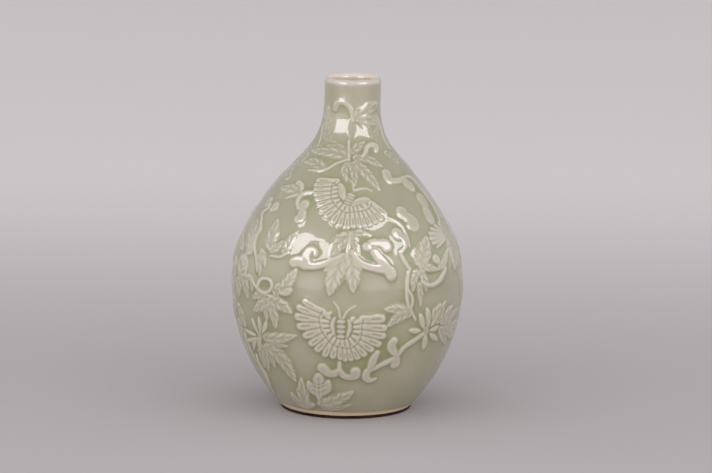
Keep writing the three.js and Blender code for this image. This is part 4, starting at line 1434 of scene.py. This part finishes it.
@dataclass(frozen=True)
class CeladonGlaze:
    """Glossy grey-green glaze over pale stoneware, greener where it is thick.

    Heights are in metres, and the other measures are those stored on the wall's points.

    Attributes:
        name: The material's name.
        worked: Whether the wall holds the relief's numbers.
        ground: Colour of the open ground.
        clouds: How much of the lee's colour the kiln's clouds bring.
        shade: Layer of painted shade that darkens the shoulder, by height.
        shade_end: Heights between which it ends under the lip.
        lee: Layer of the ground closed in by relief, by how far it is.
        pool: Layer of the deepest pools, by the same.
        crest: Layer where the glaze has run off, by how high the relief is.
        outline: Layer of the thin line at the foot of the relief, by how sharply the wall sinks.
        rim: Layer of the relief's own edge, by how sharply the wall rises.
        specks: How much of the outline's colour the specks bring.
        lip: Layer of the lip, by height.
        throat: Layer of painted light that brightens the shaded throat inside the lip, by height.
        inner: How far below nought the relief's number lies where the inside begins.
        wavering: How far the clouds move the glaze's lower edge.
        bare: Colour of the clay below it.
        bare_end: Heights between which the glaze begins.
        flash: Layer of the burnt line along the glaze's lower edge, by height.
        flash_end: Heights between which it ends.
        rough: Roughness under the coat, and how much rougher bare clay is.
        ripple: How much of the peel and of the turning lines is in its ripple.
        bump: Strength and depth of the ripple.
        coat_roughness: Roughness of the glassy coat.
        coat_ior: Its index of refraction.
        ior: That of the body under it.
    """

    name: str
    worked: bool = True
    ground: Colour = srgb(156, 150, 130)
    clouds: float = 0.45
    # Painted shade: a darker colour laid over the shoulder by height.
    shade: Layer = Layer(srgb(130, 126, 100), 0.115, 0.15, 0.7)
    shade_end: Point = (0.2, 0.212)
    lee: Layer = Layer(srgb(133, 133, 97), 0.05, 0.75, 0.85)
    pool: Layer = Layer(srgb(108, 118, 70), 0.6, 1.05, 0.75)
    crest: Layer = Layer(srgb(186, 179, 162), 0.2, 0.9, 0.33)
    outline: Layer = Layer(srgb(124, 121, 88), 0.04, 0.8, 0.52)
    rim: Layer = Layer(srgb(186, 179, 162), 0.05, 0.6, 0.6)
    specks: float = 0.12
    lip: Layer = Layer(srgb(178, 168, 156), 0.2345, 0.2385)
    # Painted light: a paler colour that brightens the shaded inside of the neck under the lip.
    throat: Layer = Layer(srgb(206, 194, 178), 0.2, 0.232)
    inner: Point = (0.2, 0.8)
    wavering: float = 0.0009
    bare: Colour = srgb(204, 188, 160)
    bare_end: Point = (0.0056, 0.0062)
    flash: Layer = Layer(srgb(176, 130, 96), 0.0048, 0.0056, 0.4)
    flash_end: Point = (0.006, 0.007)
    rough: Point = (0.5, 0.3)
    ripple: Point = (1.0, 0.35)
    bump: Point = (0.35, 0.0002)
    coat_roughness: float = 0.03
    coat_ior: float = 1.6
    ior: float = 1.5

    def material(self, clouds: bpy.types.NodeTree, ripple: bpy.types.NodeTree) -> bpy.types.Material:
        """Builds the material.

        Args:
            clouds: The group of kiln clouds.
            ripple: The group of glaze ripple.

        Returns:
            The new material.
        """
        made, bench = material_bench(self.name)
        where = bench.add("ShaderNodeTexCoord").outputs["Object"]
        height = bench.add("ShaderNodeSeparateXYZ", {0: where}).outputs[2]
        kiln = bench.add("ShaderNodeGroup", node_tree=clouds).outputs
        colour = self.glazed(bench, height, kiln)
        edge = bench.math("MULTIPLY_ADD", kiln["Clouds"], self.wavering, height)
        bare = bench.rest(bench.span(edge, *self.bare_end))
        colour = bench.blend(bare, colour, self.bare)
        flash = bench.scaled(self.flash.shown(bench, edge), bench.rest(bench.span(edge, *self.flash_end)))
        colour = bench.blend(flash, colour, self.flash.colour)
        base, rougher = self.rough
        shader = bench.add("ShaderNodeBsdfPrincipled", {
            "Base Color": colour, "Roughness": bench.math("MULTIPLY_ADD", bare, rougher, base),
            "Normal": rippled(bench, ripple, self.ripple, self.bump), "Coat Weight": bench.rest(bare),
            "Coat Roughness": self.coat_roughness, "Coat IOR": self.coat_ior, "IOR": self.ior,
        })
        bench.add("ShaderNodeOutputMaterial", {"Surface": shader.outputs[0]})
        return made

    def glazed(
        self, bench: Bench, height: bpy.types.NodeSocket, kiln: bpy.types.NodeOutputs
    ) -> bpy.types.NodeSocket:
        """The colour of the glaze, with painted shade on the shoulder and painted light in the throat.

        Args:
            bench: Where the material is made.
            height: The height up the vase.
            kiln: The outputs of the kiln's clouds.

        Returns:
            The socket that gives it.
        """
        colour = bench.blend(bench.scaled(kiln["Clouds"], self.clouds), self.ground, self.lee.colour)
        # Painted shade on the shoulder, from its lower height up to just under the lip.
        under_lip = bench.rest(bench.span(height, *self.shade_end))
        shaded = bench.scaled(self.shade.shown(bench, height), under_lip)
        colour = bench.blend(shaded, colour, self.shade.colour)
        if self.worked:
            edge, pool, relief = (
                bench.add("ShaderNodeAttribute", attribute_name=name).outputs["Fac"]
                for name in ("edge", "pool", "relief")
            )
            colour = self.lee.over(bench, pool, colour)
            colour = self.pool.over(bench, pool, colour)
            colour = self.crest.over(bench, relief, colour)
            colour = self.outline.over(bench, edge, colour)
            colour = self.rim.over(bench, bench.scaled(edge, -1.0), colour)
        colour = bench.blend(bench.scaled(kiln["Specks"], self.specks), colour, self.outline.colour)
        colour = self.lip.over(bench, height, colour)
        if self.worked:
            # Painted light in the throat: the inside rows under the lip are made paler where they lie in
            # shade.
            within = bench.span(bench.scaled(relief, -1.0), *self.inner)
            lit = bench.scaled(within, self.throat.shown(bench, height))
            colour = bench.blend(lit, colour, self.throat.colour)
        return colour


@dataclass(frozen=True)
class BareClay:
    """Unglazed clay, burnt iron brown where it stood in the kiln.

    Attributes:
        name: The material's name.
        base: Its main colour.
        burnt: The colour of its darker clouds.
        speck: The colour of its specks.
        specks: How much of that colour they bring.
        roughness: How matt it is.
        gloss: How strongly it mirrors.
        grain: Scales of its clouds and of its specks.
        ripple: How much of the peel and of the turning lines is in its ripple.
        bump: Strength and depth of the ripple.
    """

    name: str
    base: Colour = srgb(46, 30, 24)
    burnt: Colour = srgb(28, 18, 14)
    speck: Colour = srgb(96, 70, 54)
    specks: float = 0.5
    roughness: float = 0.75
    gloss: float = 0.15
    grain: Point = (160.0, 1400.0)
    ripple: Point = (0.4, 1.0)
    bump: Point = (0.6, 0.0003)

    def material(self, clouds: bpy.types.NodeTree, ripple: bpy.types.NodeTree) -> bpy.types.Material:
        """Builds the material.

        Args:
            clouds: The group of kiln clouds.
            ripple: The group of glaze ripple.

        Returns:
            The new material.
        """
        made, bench = material_bench(self.name)
        large, small = self.grain
        kiln = bench.add(
            "ShaderNodeGroup", {"Cloud Scale": large, "Speck Scale": small}, node_tree=clouds
        ).outputs
        colour = bench.blend(kiln["Clouds"], self.base, self.burnt)
        colour = bench.blend(bench.scaled(kiln["Specks"], self.specks), colour, self.speck)
        shader = bench.add("ShaderNodeBsdfPrincipled", {
            "Base Color": colour, "Roughness": self.roughness, "Specular IOR Level": self.gloss,
            "Normal": rippled(bench, ripple, self.ripple, self.bump),
        })
        bench.add("ShaderNodeOutputMaterial", {"Surface": shader.outputs[0]})
        return made


@dataclass(frozen=True)
class Glazing:
    """How a glaze softens the relief under it and gathers round it.

    Reaches are of a softening, in millimetres, and shares are of the lift that they lead to.

    Attributes:
        crisp: Reach that is left of the pressed shapes.
        fine: Reach of the line that marks their edges.
        near: Reach of the line round them that it is set against.
        skirt: Reach of the glaze that runs together at their foot.
        wide: Reach of the pools beyond it.
        pressed: Height of relief that makes a full skirt.
        crisp_share: Share of the softened shapes in the lift.
        skirt_share: Share of the skirt in it.
        edge: Difference of near and fine that makes a full edge.
        pools: Shares of the skirt and of the wide reach in a pool.
        dry: Height of relief that stands clear of every pool.
        full: Height of relief that counts as one.
    """

    crisp: float = 0.56
    fine: float = 0.4
    near: float = 1.1
    skirt: float = 2.7
    wide: float = 5.0
    pressed: float = 1.05
    crisp_share: float = 0.6
    skirt_share: float = 0.55
    edge: float = 0.3
    pools: Point = (0.5, 0.8)
    dry: float = 0.5
    full: float = 1.2

    def numbers(self, drawn: Relief) -> dict[str, np.ndarray]:
        """The lift in metres and the numbers edge, pool and relief, for half of the wall."""
        crisp, fine, near = (drawn.softened(drawn.height, r) for r in (self.crisp, self.fine, self.near))
        full = np.minimum(drawn.height / self.pressed, 1.0)
        skirt = np.clip(drawn.softened(full, self.skirt) * 2, 0, 1)
        wide = drawn.softened(skirt, self.wide)
        by_skirt, by_wide = self.pools
        return {
            "lift": (crisp * self.crisp_share + skirt * self.skirt_share) * MM,
            "edge": (near - fine) / self.edge,
            "pool": (skirt * by_skirt + wide * by_wide) * np.clip(1 - fine / self.dry, 0, 1),
            "relief": fine / self.full,
        }


class Vase:
    """The whole vase: its wall with the relief, its inside, its underside and its foot ring.

    Attributes:
        LIP_DROP: How far under the neck's top the lip begins to round over.
        PLAIN_COLUMNS: Points round the floor and the foot ring.
        CREASE: Angle of an edge that isn't shaded as smooth, in degrees.
        GLAZING: How the glaze lies on the relief.
    """

    LIP_DROP = 3.3
    PLAIN_COLUMNS = 240
    CREASE = 40.0
    GLAZING = Glazing()

    def __init__(
        self, wheel: Wheel, view: Viewpoint, glaze: bpy.types.Material,
        inner: bpy.types.Material, clay: bpy.types.Material,
    ) -> None:
        """Reads the sizes from the frame.

        Args:
            wheel: What turns the walls.
            view: Where the photograph was taken from.
            glaze: The outer glaze.
            inner: The glaze inside.
            clay: The foot's bare clay.
        """
        self.wheel, self.view = wheel, view
        self.glaze, self.inner, self.clay = glaze, inner, clay
        body = [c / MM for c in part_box("lower_body")[1]]
        shoulder = [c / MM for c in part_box("upper_body")[1]]
        neck = [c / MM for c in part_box("neck")[1]]
        self.line = PotLine(body[0], body[2], shoulder[2], neck[2] - self.LIP_DROP)
        self.columns = COLUMNS
        self.pitch = ROW_PITCH

    def skin_line(self) -> tuple[np.ndarray, list[int], list[int]]:
        """The wall's line from the foot over the lip and down inside to the foot ring.

        Returns:
            Radius and height of its rows, and the rows where it is parted into rings, outside and inside.
        """
        pot = self.line
        outside = [spaced(part, self.pitch) for part in (pot.lower(), pot.upper(), pot.collar())]
        outer = np.vstack([outside[0], outside[1][1:], outside[2][1:]])
        ends = np.cumsum([0] + [len(part) - 1 for part in outside])
        cuts = []
        for start, end, count in zip(ends, ends[1:], RINGS):
            cuts += [start + (end - start) * i // count for i in range(count)]
        heights = outer[cuts[1:], 1][::-1]
        inside = pot.inside()
        run = run_along(inside)
        marks = [0.0, *np.interp(-heights, -inside[:, 1], run), run[-1]]
        stations = np.r_[0.0, *[
            np.linspace(a, b, max(2, math.ceil((b - a) / INNER_PITCH) + 1))[1:]
            for a, b in zip(marks, marks[1:])
        ]]
        inner = np.c_[np.interp(stations, run, inside[:, 0]), np.interp(stations, run, inside[:, 1])]
        lip = spaced(pot.lip(), LIP_PITCH)
        start = len(outer) + len(lip) - 2
        partings = [start + int(np.argmin(np.abs(stations - mark))) for mark in marks[-2:0:-1]]
        line = np.vstack([outer, lip[1:-1], inner, pot.under()])
        return line, cuts, [len(line) - 1, *partings]

    def relief_fields(self, line: np.ndarray) -> dict[str, np.ndarray]:
        """Draws the relief and measures where the glaze is thick.

        Args:
            line: Rows of the outer wall.

        Returns:
            Lift in metres and the numbers edge, pool and relief, the last of them -1 inside.
        """
        outside = int(np.argmax(line[:, 1])) + 1
        drawn = Relief(line[:outside], self.view, self.columns)
        for sprig in Sprigs().all():
            sprig.press(drawn)
        spare = np.zeros((len(line) - outside, self.columns))
        return {
            name: np.vstack([np.tile(values, (1, 2)), spare - (name == "relief")])
            for name, values in self.GLAZING.numbers(drawn).items()
        }

    def build(self) -> list[bpy.types.Object]:
        """Makes every piece and hides the parts of the frame that they replace."""
        return [*self.wall(), self.floor(), self.foot_ring()]

    def wall(self) -> list[bpy.types.Object]:
        """The wall as closed rings, one on another, which stand for the pot and the sprigs on it."""
        line, outer, inner = self.skin_line()
        whole = self.wheel.turn("wall", line, self.columns, self.glaze, self.relief_fields(line))
        shape = (len(line), self.columns, 3)
        place, normal = (np.zeros(len(whole.vertices) * 3, np.float32) for _ in range(2))
        whole.vertices.foreach_get("co", place)
        whole.vertex_normals.foreach_get("vector", normal)
        place, normal = place.reshape(shape), normal.reshape(shape)
        extra = {k: stored(whole, k).reshape(shape[:2]) for k in ("edge", "pool", "relief")}
        bpy.data.meshes.remove(whole)
        names = [f"{node}_{i + 1}" for node, count in zip(POT_NODES, RINGS) for i in range(count)]
        sprigs = self.sprigs_by_height([*line[outer, 1], line[:, 1].max()])
        tops = [*zip(outer[1:], inner[1:]), (inner[-1], None)]
        made = []
        for name, low, end, (top, parting), held in zip(names, outer, inner, tops, sprigs):
            rows = np.arange(low, top + 1)
            if parting is not None:
                rows = np.r_[rows, parting:end + 1]
            piece = self.ring(name, rows, place, normal, extra)
            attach(piece, "root")
            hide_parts(name[:-2], *held)
            made.append(piece)
        return made

    def ring(
        self, name: str, rows: np.ndarray, place: np.ndarray, normal: np.ndarray,
        extra: dict[str, np.ndarray],
    ) -> bpy.types.Object:
        """One closed ring of the wall, shaded on its skin as the whole wall is.

        Args:
            name: The ring's name.
            rows: The rows of the wall that it takes, outside and inside.
            place: Where the wall's points are.
            normal: The wall's normals there.
            extra: Numbers for the points.

        Returns:
            The new piece.
        """
        mesh = sheet_mesh(name, len(rows), self.columns, closes=True)
        mesh.vertices.foreach_set("co", place[rows].ravel())
        store(mesh, **{k: v[rows] for k, v in extra.items()})
        mesh.materials.append(self.glaze)
        mesh.update()
        faces = len(mesh.polygons)
        mesh.polygons.foreach_set("use_smooth", np.ones(faces, bool))
        flat = np.zeros(faces * 3, np.float32)
        mesh.polygons.foreach_get("normal", flat)
        corners = np.repeat(flat.reshape(len(rows), self.columns, 1, 3), 4, axis=2)
        near = normal[rows]
        beside = np.roll(near, -1, axis=1)
        skin = np.flatnonzero((np.diff(rows) == 1) & (rows[:-1] < len(place) - 3))
        corners[skin] = np.stack([near[skin], beside[skin], beside[skin + 1], near[skin + 1]], axis=2)
        mesh.normals_split_custom_set(corners.reshape(-1, 3))
        return add_object(name, mesh)

    def sprigs_by_height(self, levels: Sequence[float]) -> list[list[str]]:
        """The frame's sprigs, each listed with the band that its middle is in."""
        nodes = {piece["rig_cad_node"] for piece in bpy.context.scene.objects if "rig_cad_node" in piece}
        found: list[list[str]] = [[] for _ in levels[1:]]
        for node in sorted(nodes - {"foot_ring", *POT_NODES}):
            low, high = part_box(node)
            middle = (low[2] + high[2]) / 2 / MM
            band = sum(middle > level for level in levels[1:-1])
            found[min(band, len(found) - 1)].append(node)
        return found

    def turned(
        self, name: str, line: np.ndarray, finish: bpy.types.Material, node: str, slot: str,
        closes: bool = False,
    ) -> bpy.types.Object:
        """A plain turned piece.

        Args:
            name: Its name.
            line: Radius and height of its rows.
            finish: Its material.
            node: The node that it stands for.
            slot: The slot of its material; not used.
            closes: Whether the line's end joins its start.

        Returns:
            The new piece.
        """
        mesh = self.wheel.turn(name, line, self.PLAIN_COLUMNS, finish, even=True, closes=closes)
        piece = add_object(name, mesh)
        mesh.polygons.foreach_set("use_smooth", np.ones(len(mesh.polygons), bool))
        mesh.set_sharp_from_angle(angle=math.radians(self.CREASE))
        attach(piece, "root")
        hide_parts(node)
        return piece

    def floor(self) -> bpy.types.Object:
        """The disc of clay that closes the foot, with its recess under it."""
        rim, low, high = self.line.recess, self.line.floor_base, self.line.floor[1]
        line = [(0, low), (rim / 2, low), (rim, low), (rim, high), (rim / 2, high), (0, high)]
        return self.turned("lower_body_floor", np.array(line), self.inner, "lower_body", "celadon_glaze")

    def foot_ring(self) -> bpy.types.Object:
        """The ring that the vase stands on."""
        foot, inner = self.line.foot, self.line.recess
        line = [
            (inner, foot[1]), (inner, 0.6), (inner + 0.2, 0.2), (inner + 0.6, 0.0), (foot[0] - 0.9, 0.0),
            (foot[0] - 0.5, 0.15), (foot[0] - 0.3, 0.5), foot,
        ]
        return self.turned("foot_ring_clay", np.array(line), self.clay, "foot_ring", "iron_foot", True)


class Work(Enum):
    """What a lamp is there for."""

    GLOSS = "visible_diffuse"
    LIGHT = "visible_glossy"


@dataclass(frozen=True)
class Softbox:
    """A rectangular lamp that faces the vase and that the camera doesn't see.

    Attributes:
        name: Its name.
        azimuth: Degrees round from the front, positive to the right.
        elevation: Degrees above level, seen from the belly.
        distance: From the belly, in metres.
        width: Of the lamp, in metres.
        height: Of the lamp, in metres.
        radiance: How bright its face is.
        work: Whether it is mirrored in the gloss or lights the vase. Its value is the kind of ray
            that is kept from it.
        tint: Colour of its light.
        aim: Height that it faces, in metres.
    """

    name: str
    azimuth: float
    elevation: float
    distance: float
    width: float
    height: float
    radiance: float
    work: Work
    tint: tuple[float, float, float] = (1.0, 0.94, 1.03)
    aim: float = 0.125

    def place(self) -> bpy.types.Object:
        """Adds the lamp."""
        data = bpy.data.lights.new(self.name, "AREA")
        data.shape = "RECTANGLE"
        data.size, data.size_y = self.width, self.height
        data.energy = self.radiance * math.pi * self.width * self.height
        data.color = self.tint
        lamp = add_object(self.name, data)
        lamp.visible_camera = False
        setattr(lamp, self.work.value, False)
        turn, rise = math.radians(self.azimuth), math.radians(self.elevation)
        way = Vector((math.sin(turn) * math.cos(rise), -math.cos(turn) * math.cos(rise), math.sin(rise)))
        lamp.location = Vector((0, 0, self.aim)) + way * self.distance
        lamp.rotation_mode = "QUATERNION"
        lamp.rotation_quaternion = way.to_track_quat("Z", "Y")
        return lamp


@dataclass(frozen=True)
class Studio:
    """A pale sweep of paper, lamps and an even room.

    Two near softboxes are only mirrored in the glaze. Two far lamps and a fill card only light it.

    Attributes:
        lamps: The lamps.
        paper: Colour of the floor and backdrop.
        cloud: Colour of the paper's faint clouds.
        cloud_share: How much of it they bring.
        cloud_size: Their scale.
        glow: Strength of the painted glow that makes the far paper look paler than the lamps leave it.
        glow_tint: Colour of that.
        glow_span: Distances behind the vase between which it sets in, in metres.
        room: Strength of the room's light from level.
        ceiling: Its strength from straight above.
        room_tint: Its colour.
        reach: How far the floor goes before and behind the vase, in metres.
        bend: Radius at which it curves up into the backdrop.
        side: How far it goes to the left and to the right.
        top: Height of the backdrop.
    """

    lamps: tuple[Softbox, ...] = (
        Softbox("softbox_left", -42, 29.0, 0.36, 0.2, 0.112, 6.4, Work.GLOSS),
        Softbox("softbox_right", 41, 30.0, 0.36, 0.19, 0.11, 6.4, Work.GLOSS),
        Softbox("key_left", -50, 34.0, 1.2, 0.9, 0.6, 1.0, Work.LIGHT),
        Softbox("key_right", 48, 32.0, 1.2, 0.9, 0.6, 0.9, Work.LIGHT),
        Softbox("fill_card", 0, 6.0, 2.9, 5.0, 0.84, 3.1, Work.LIGHT),
    )
    paper: Colour = srgb(176, 172, 173)
    cloud: Colour = srgb(150, 145, 147)
    cloud_share: float = 0.06
    cloud_size: float = 3.0
    # Painted light: the paper glows, brighter with distance behind the vase.
    glow: float = 0.22
    glow_tint: Colour = (1.0, 0.955, 0.965, 1.0)
    glow_span: Point = (0.05, 1.1)
    room: float = 1.3
    ceiling: float = 0.8
    room_tint: Colour = (1.0, 0.99, 0.985, 1.0)
    reach: float = 3.2
    bend: float = 0.5
    side: float = 4.0
    top: float = 4.0

    def build(self) -> None:
        """Makes the sweep, the lamps and the room."""
        self.sweep()
        for lamp in self.lamps:
            lamp.place()
        self.light_room()

    def light_room(self) -> None:
        """The room's light, which weakens from level to straight above."""
        world = bpy.data.worlds.new("room")
        world.use_nodes = True
        back = world.node_tree.nodes["Background"]
        back.inputs["Color"].default_value = self.room_tint
        bench = Bench(world.node_tree)
        way = bench.add("ShaderNodeTexCoord").outputs["Generated"]
        high = bench.span(bench.add("ShaderNodeSeparateXYZ", {0: way}).outputs[2], 0.0, 0.9)
        strength = bench.math("MULTIPLY_ADD", high, self.ceiling - self.room, self.room)
        world.node_tree.links.new(strength, back.inputs["Strength"])
        bpy.context.scene.world = world

    def sweep(self) -> None:
        """The floor and the backdrop as one curved sheet."""
        reach, bend = self.reach, self.bend
        turn = np.linspace(0, math.pi / 2, 25)
        back = np.r_[-reach, reach, reach + bend * np.sin(turn)[1:], reach + bend]
        rise = np.r_[0.0, 0.0, bend - bend * np.cos(turn)[1:], self.top]
        mesh = sheet_mesh("paper_sweep", len(back), 2, wraps=False)
        place = np.array([(x, y, z) for y, z in zip(back, rise) for x in (-self.side, self.side)])
        mesh.vertices.foreach_set("co", place.ravel())
        mesh.polygons.foreach_set("use_smooth", np.ones(len(mesh.polygons), bool))
        mesh.update()
        mesh.materials.append(self.paper_material())
        add_object("paper_sweep", mesh)

    def paper_material(self) -> bpy.types.Material:
        """Matt paper with faint clouds and a painted glow that makes it paler far behind the vase."""
        made, bench = material_bench("paper")
        where = bench.add("ShaderNodeTexCoord").outputs["Object"]
        clouds = bench.add("ShaderNodeTexNoise", {"Vector": where, "Scale": self.cloud_size, "Detail": 2.0})
        share = bench.scaled(clouds.outputs[0], self.cloud_share)
        rays = bench.add("ShaderNodeLightPath").outputs
        seen = bench.math("MAXIMUM", rays["Is Glossy Ray"], rays["Is Transmission Ray"])
        seen = bench.math("MAXIMUM", rays["Is Camera Ray"], seen)
        depth = bench.add("ShaderNodeSeparateXYZ", {0: where}).outputs[1]
        # Painted glow, seen only by camera, glossy and transmission rays, growing with distance behind the
        # vase.
        glow = bench.scaled(bench.scaled(bench.span(depth, *self.glow_span), seen), self.glow)
        shader = bench.add("ShaderNodeBsdfPrincipled", {
            "Base Color": bench.blend(share, self.paper, self.cloud), "Roughness": 0.9,
            "Specular IOR Level": 0.1, "Emission Color": self.glow_tint, "Emission Strength": glow,
        })
        bench.add("ShaderNodeOutputMaterial", {"Surface": shader.outputs[0]})
        return made


def main() -> None:
    """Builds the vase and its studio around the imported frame."""
    logging.basicConfig(level=logging.INFO, format="%(name)s: %(message)s")
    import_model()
    view = Viewpoint()
    view.make_camera()
    clouds, ripple = firing_group(), ripple_group()
    glaze = CeladonGlaze("celadon").material(clouds, ripple)
    inner = CeladonGlaze("celadon_inside", worked=False).material(clouds, ripple)
    clay = BareClay("iron_clay").material(clouds, ripple)
    vase = Vase(Wheel(turning_tree()), view, glaze, inner, clay)
    for piece in vase.build():
        LOG.info("%s: %d faces", piece.name, len(piece.data.polygons))
    Studio().build()
    bpy.context.scene.view_settings.view_transform = "Standard"


if __name__ == "__main__":
    main()
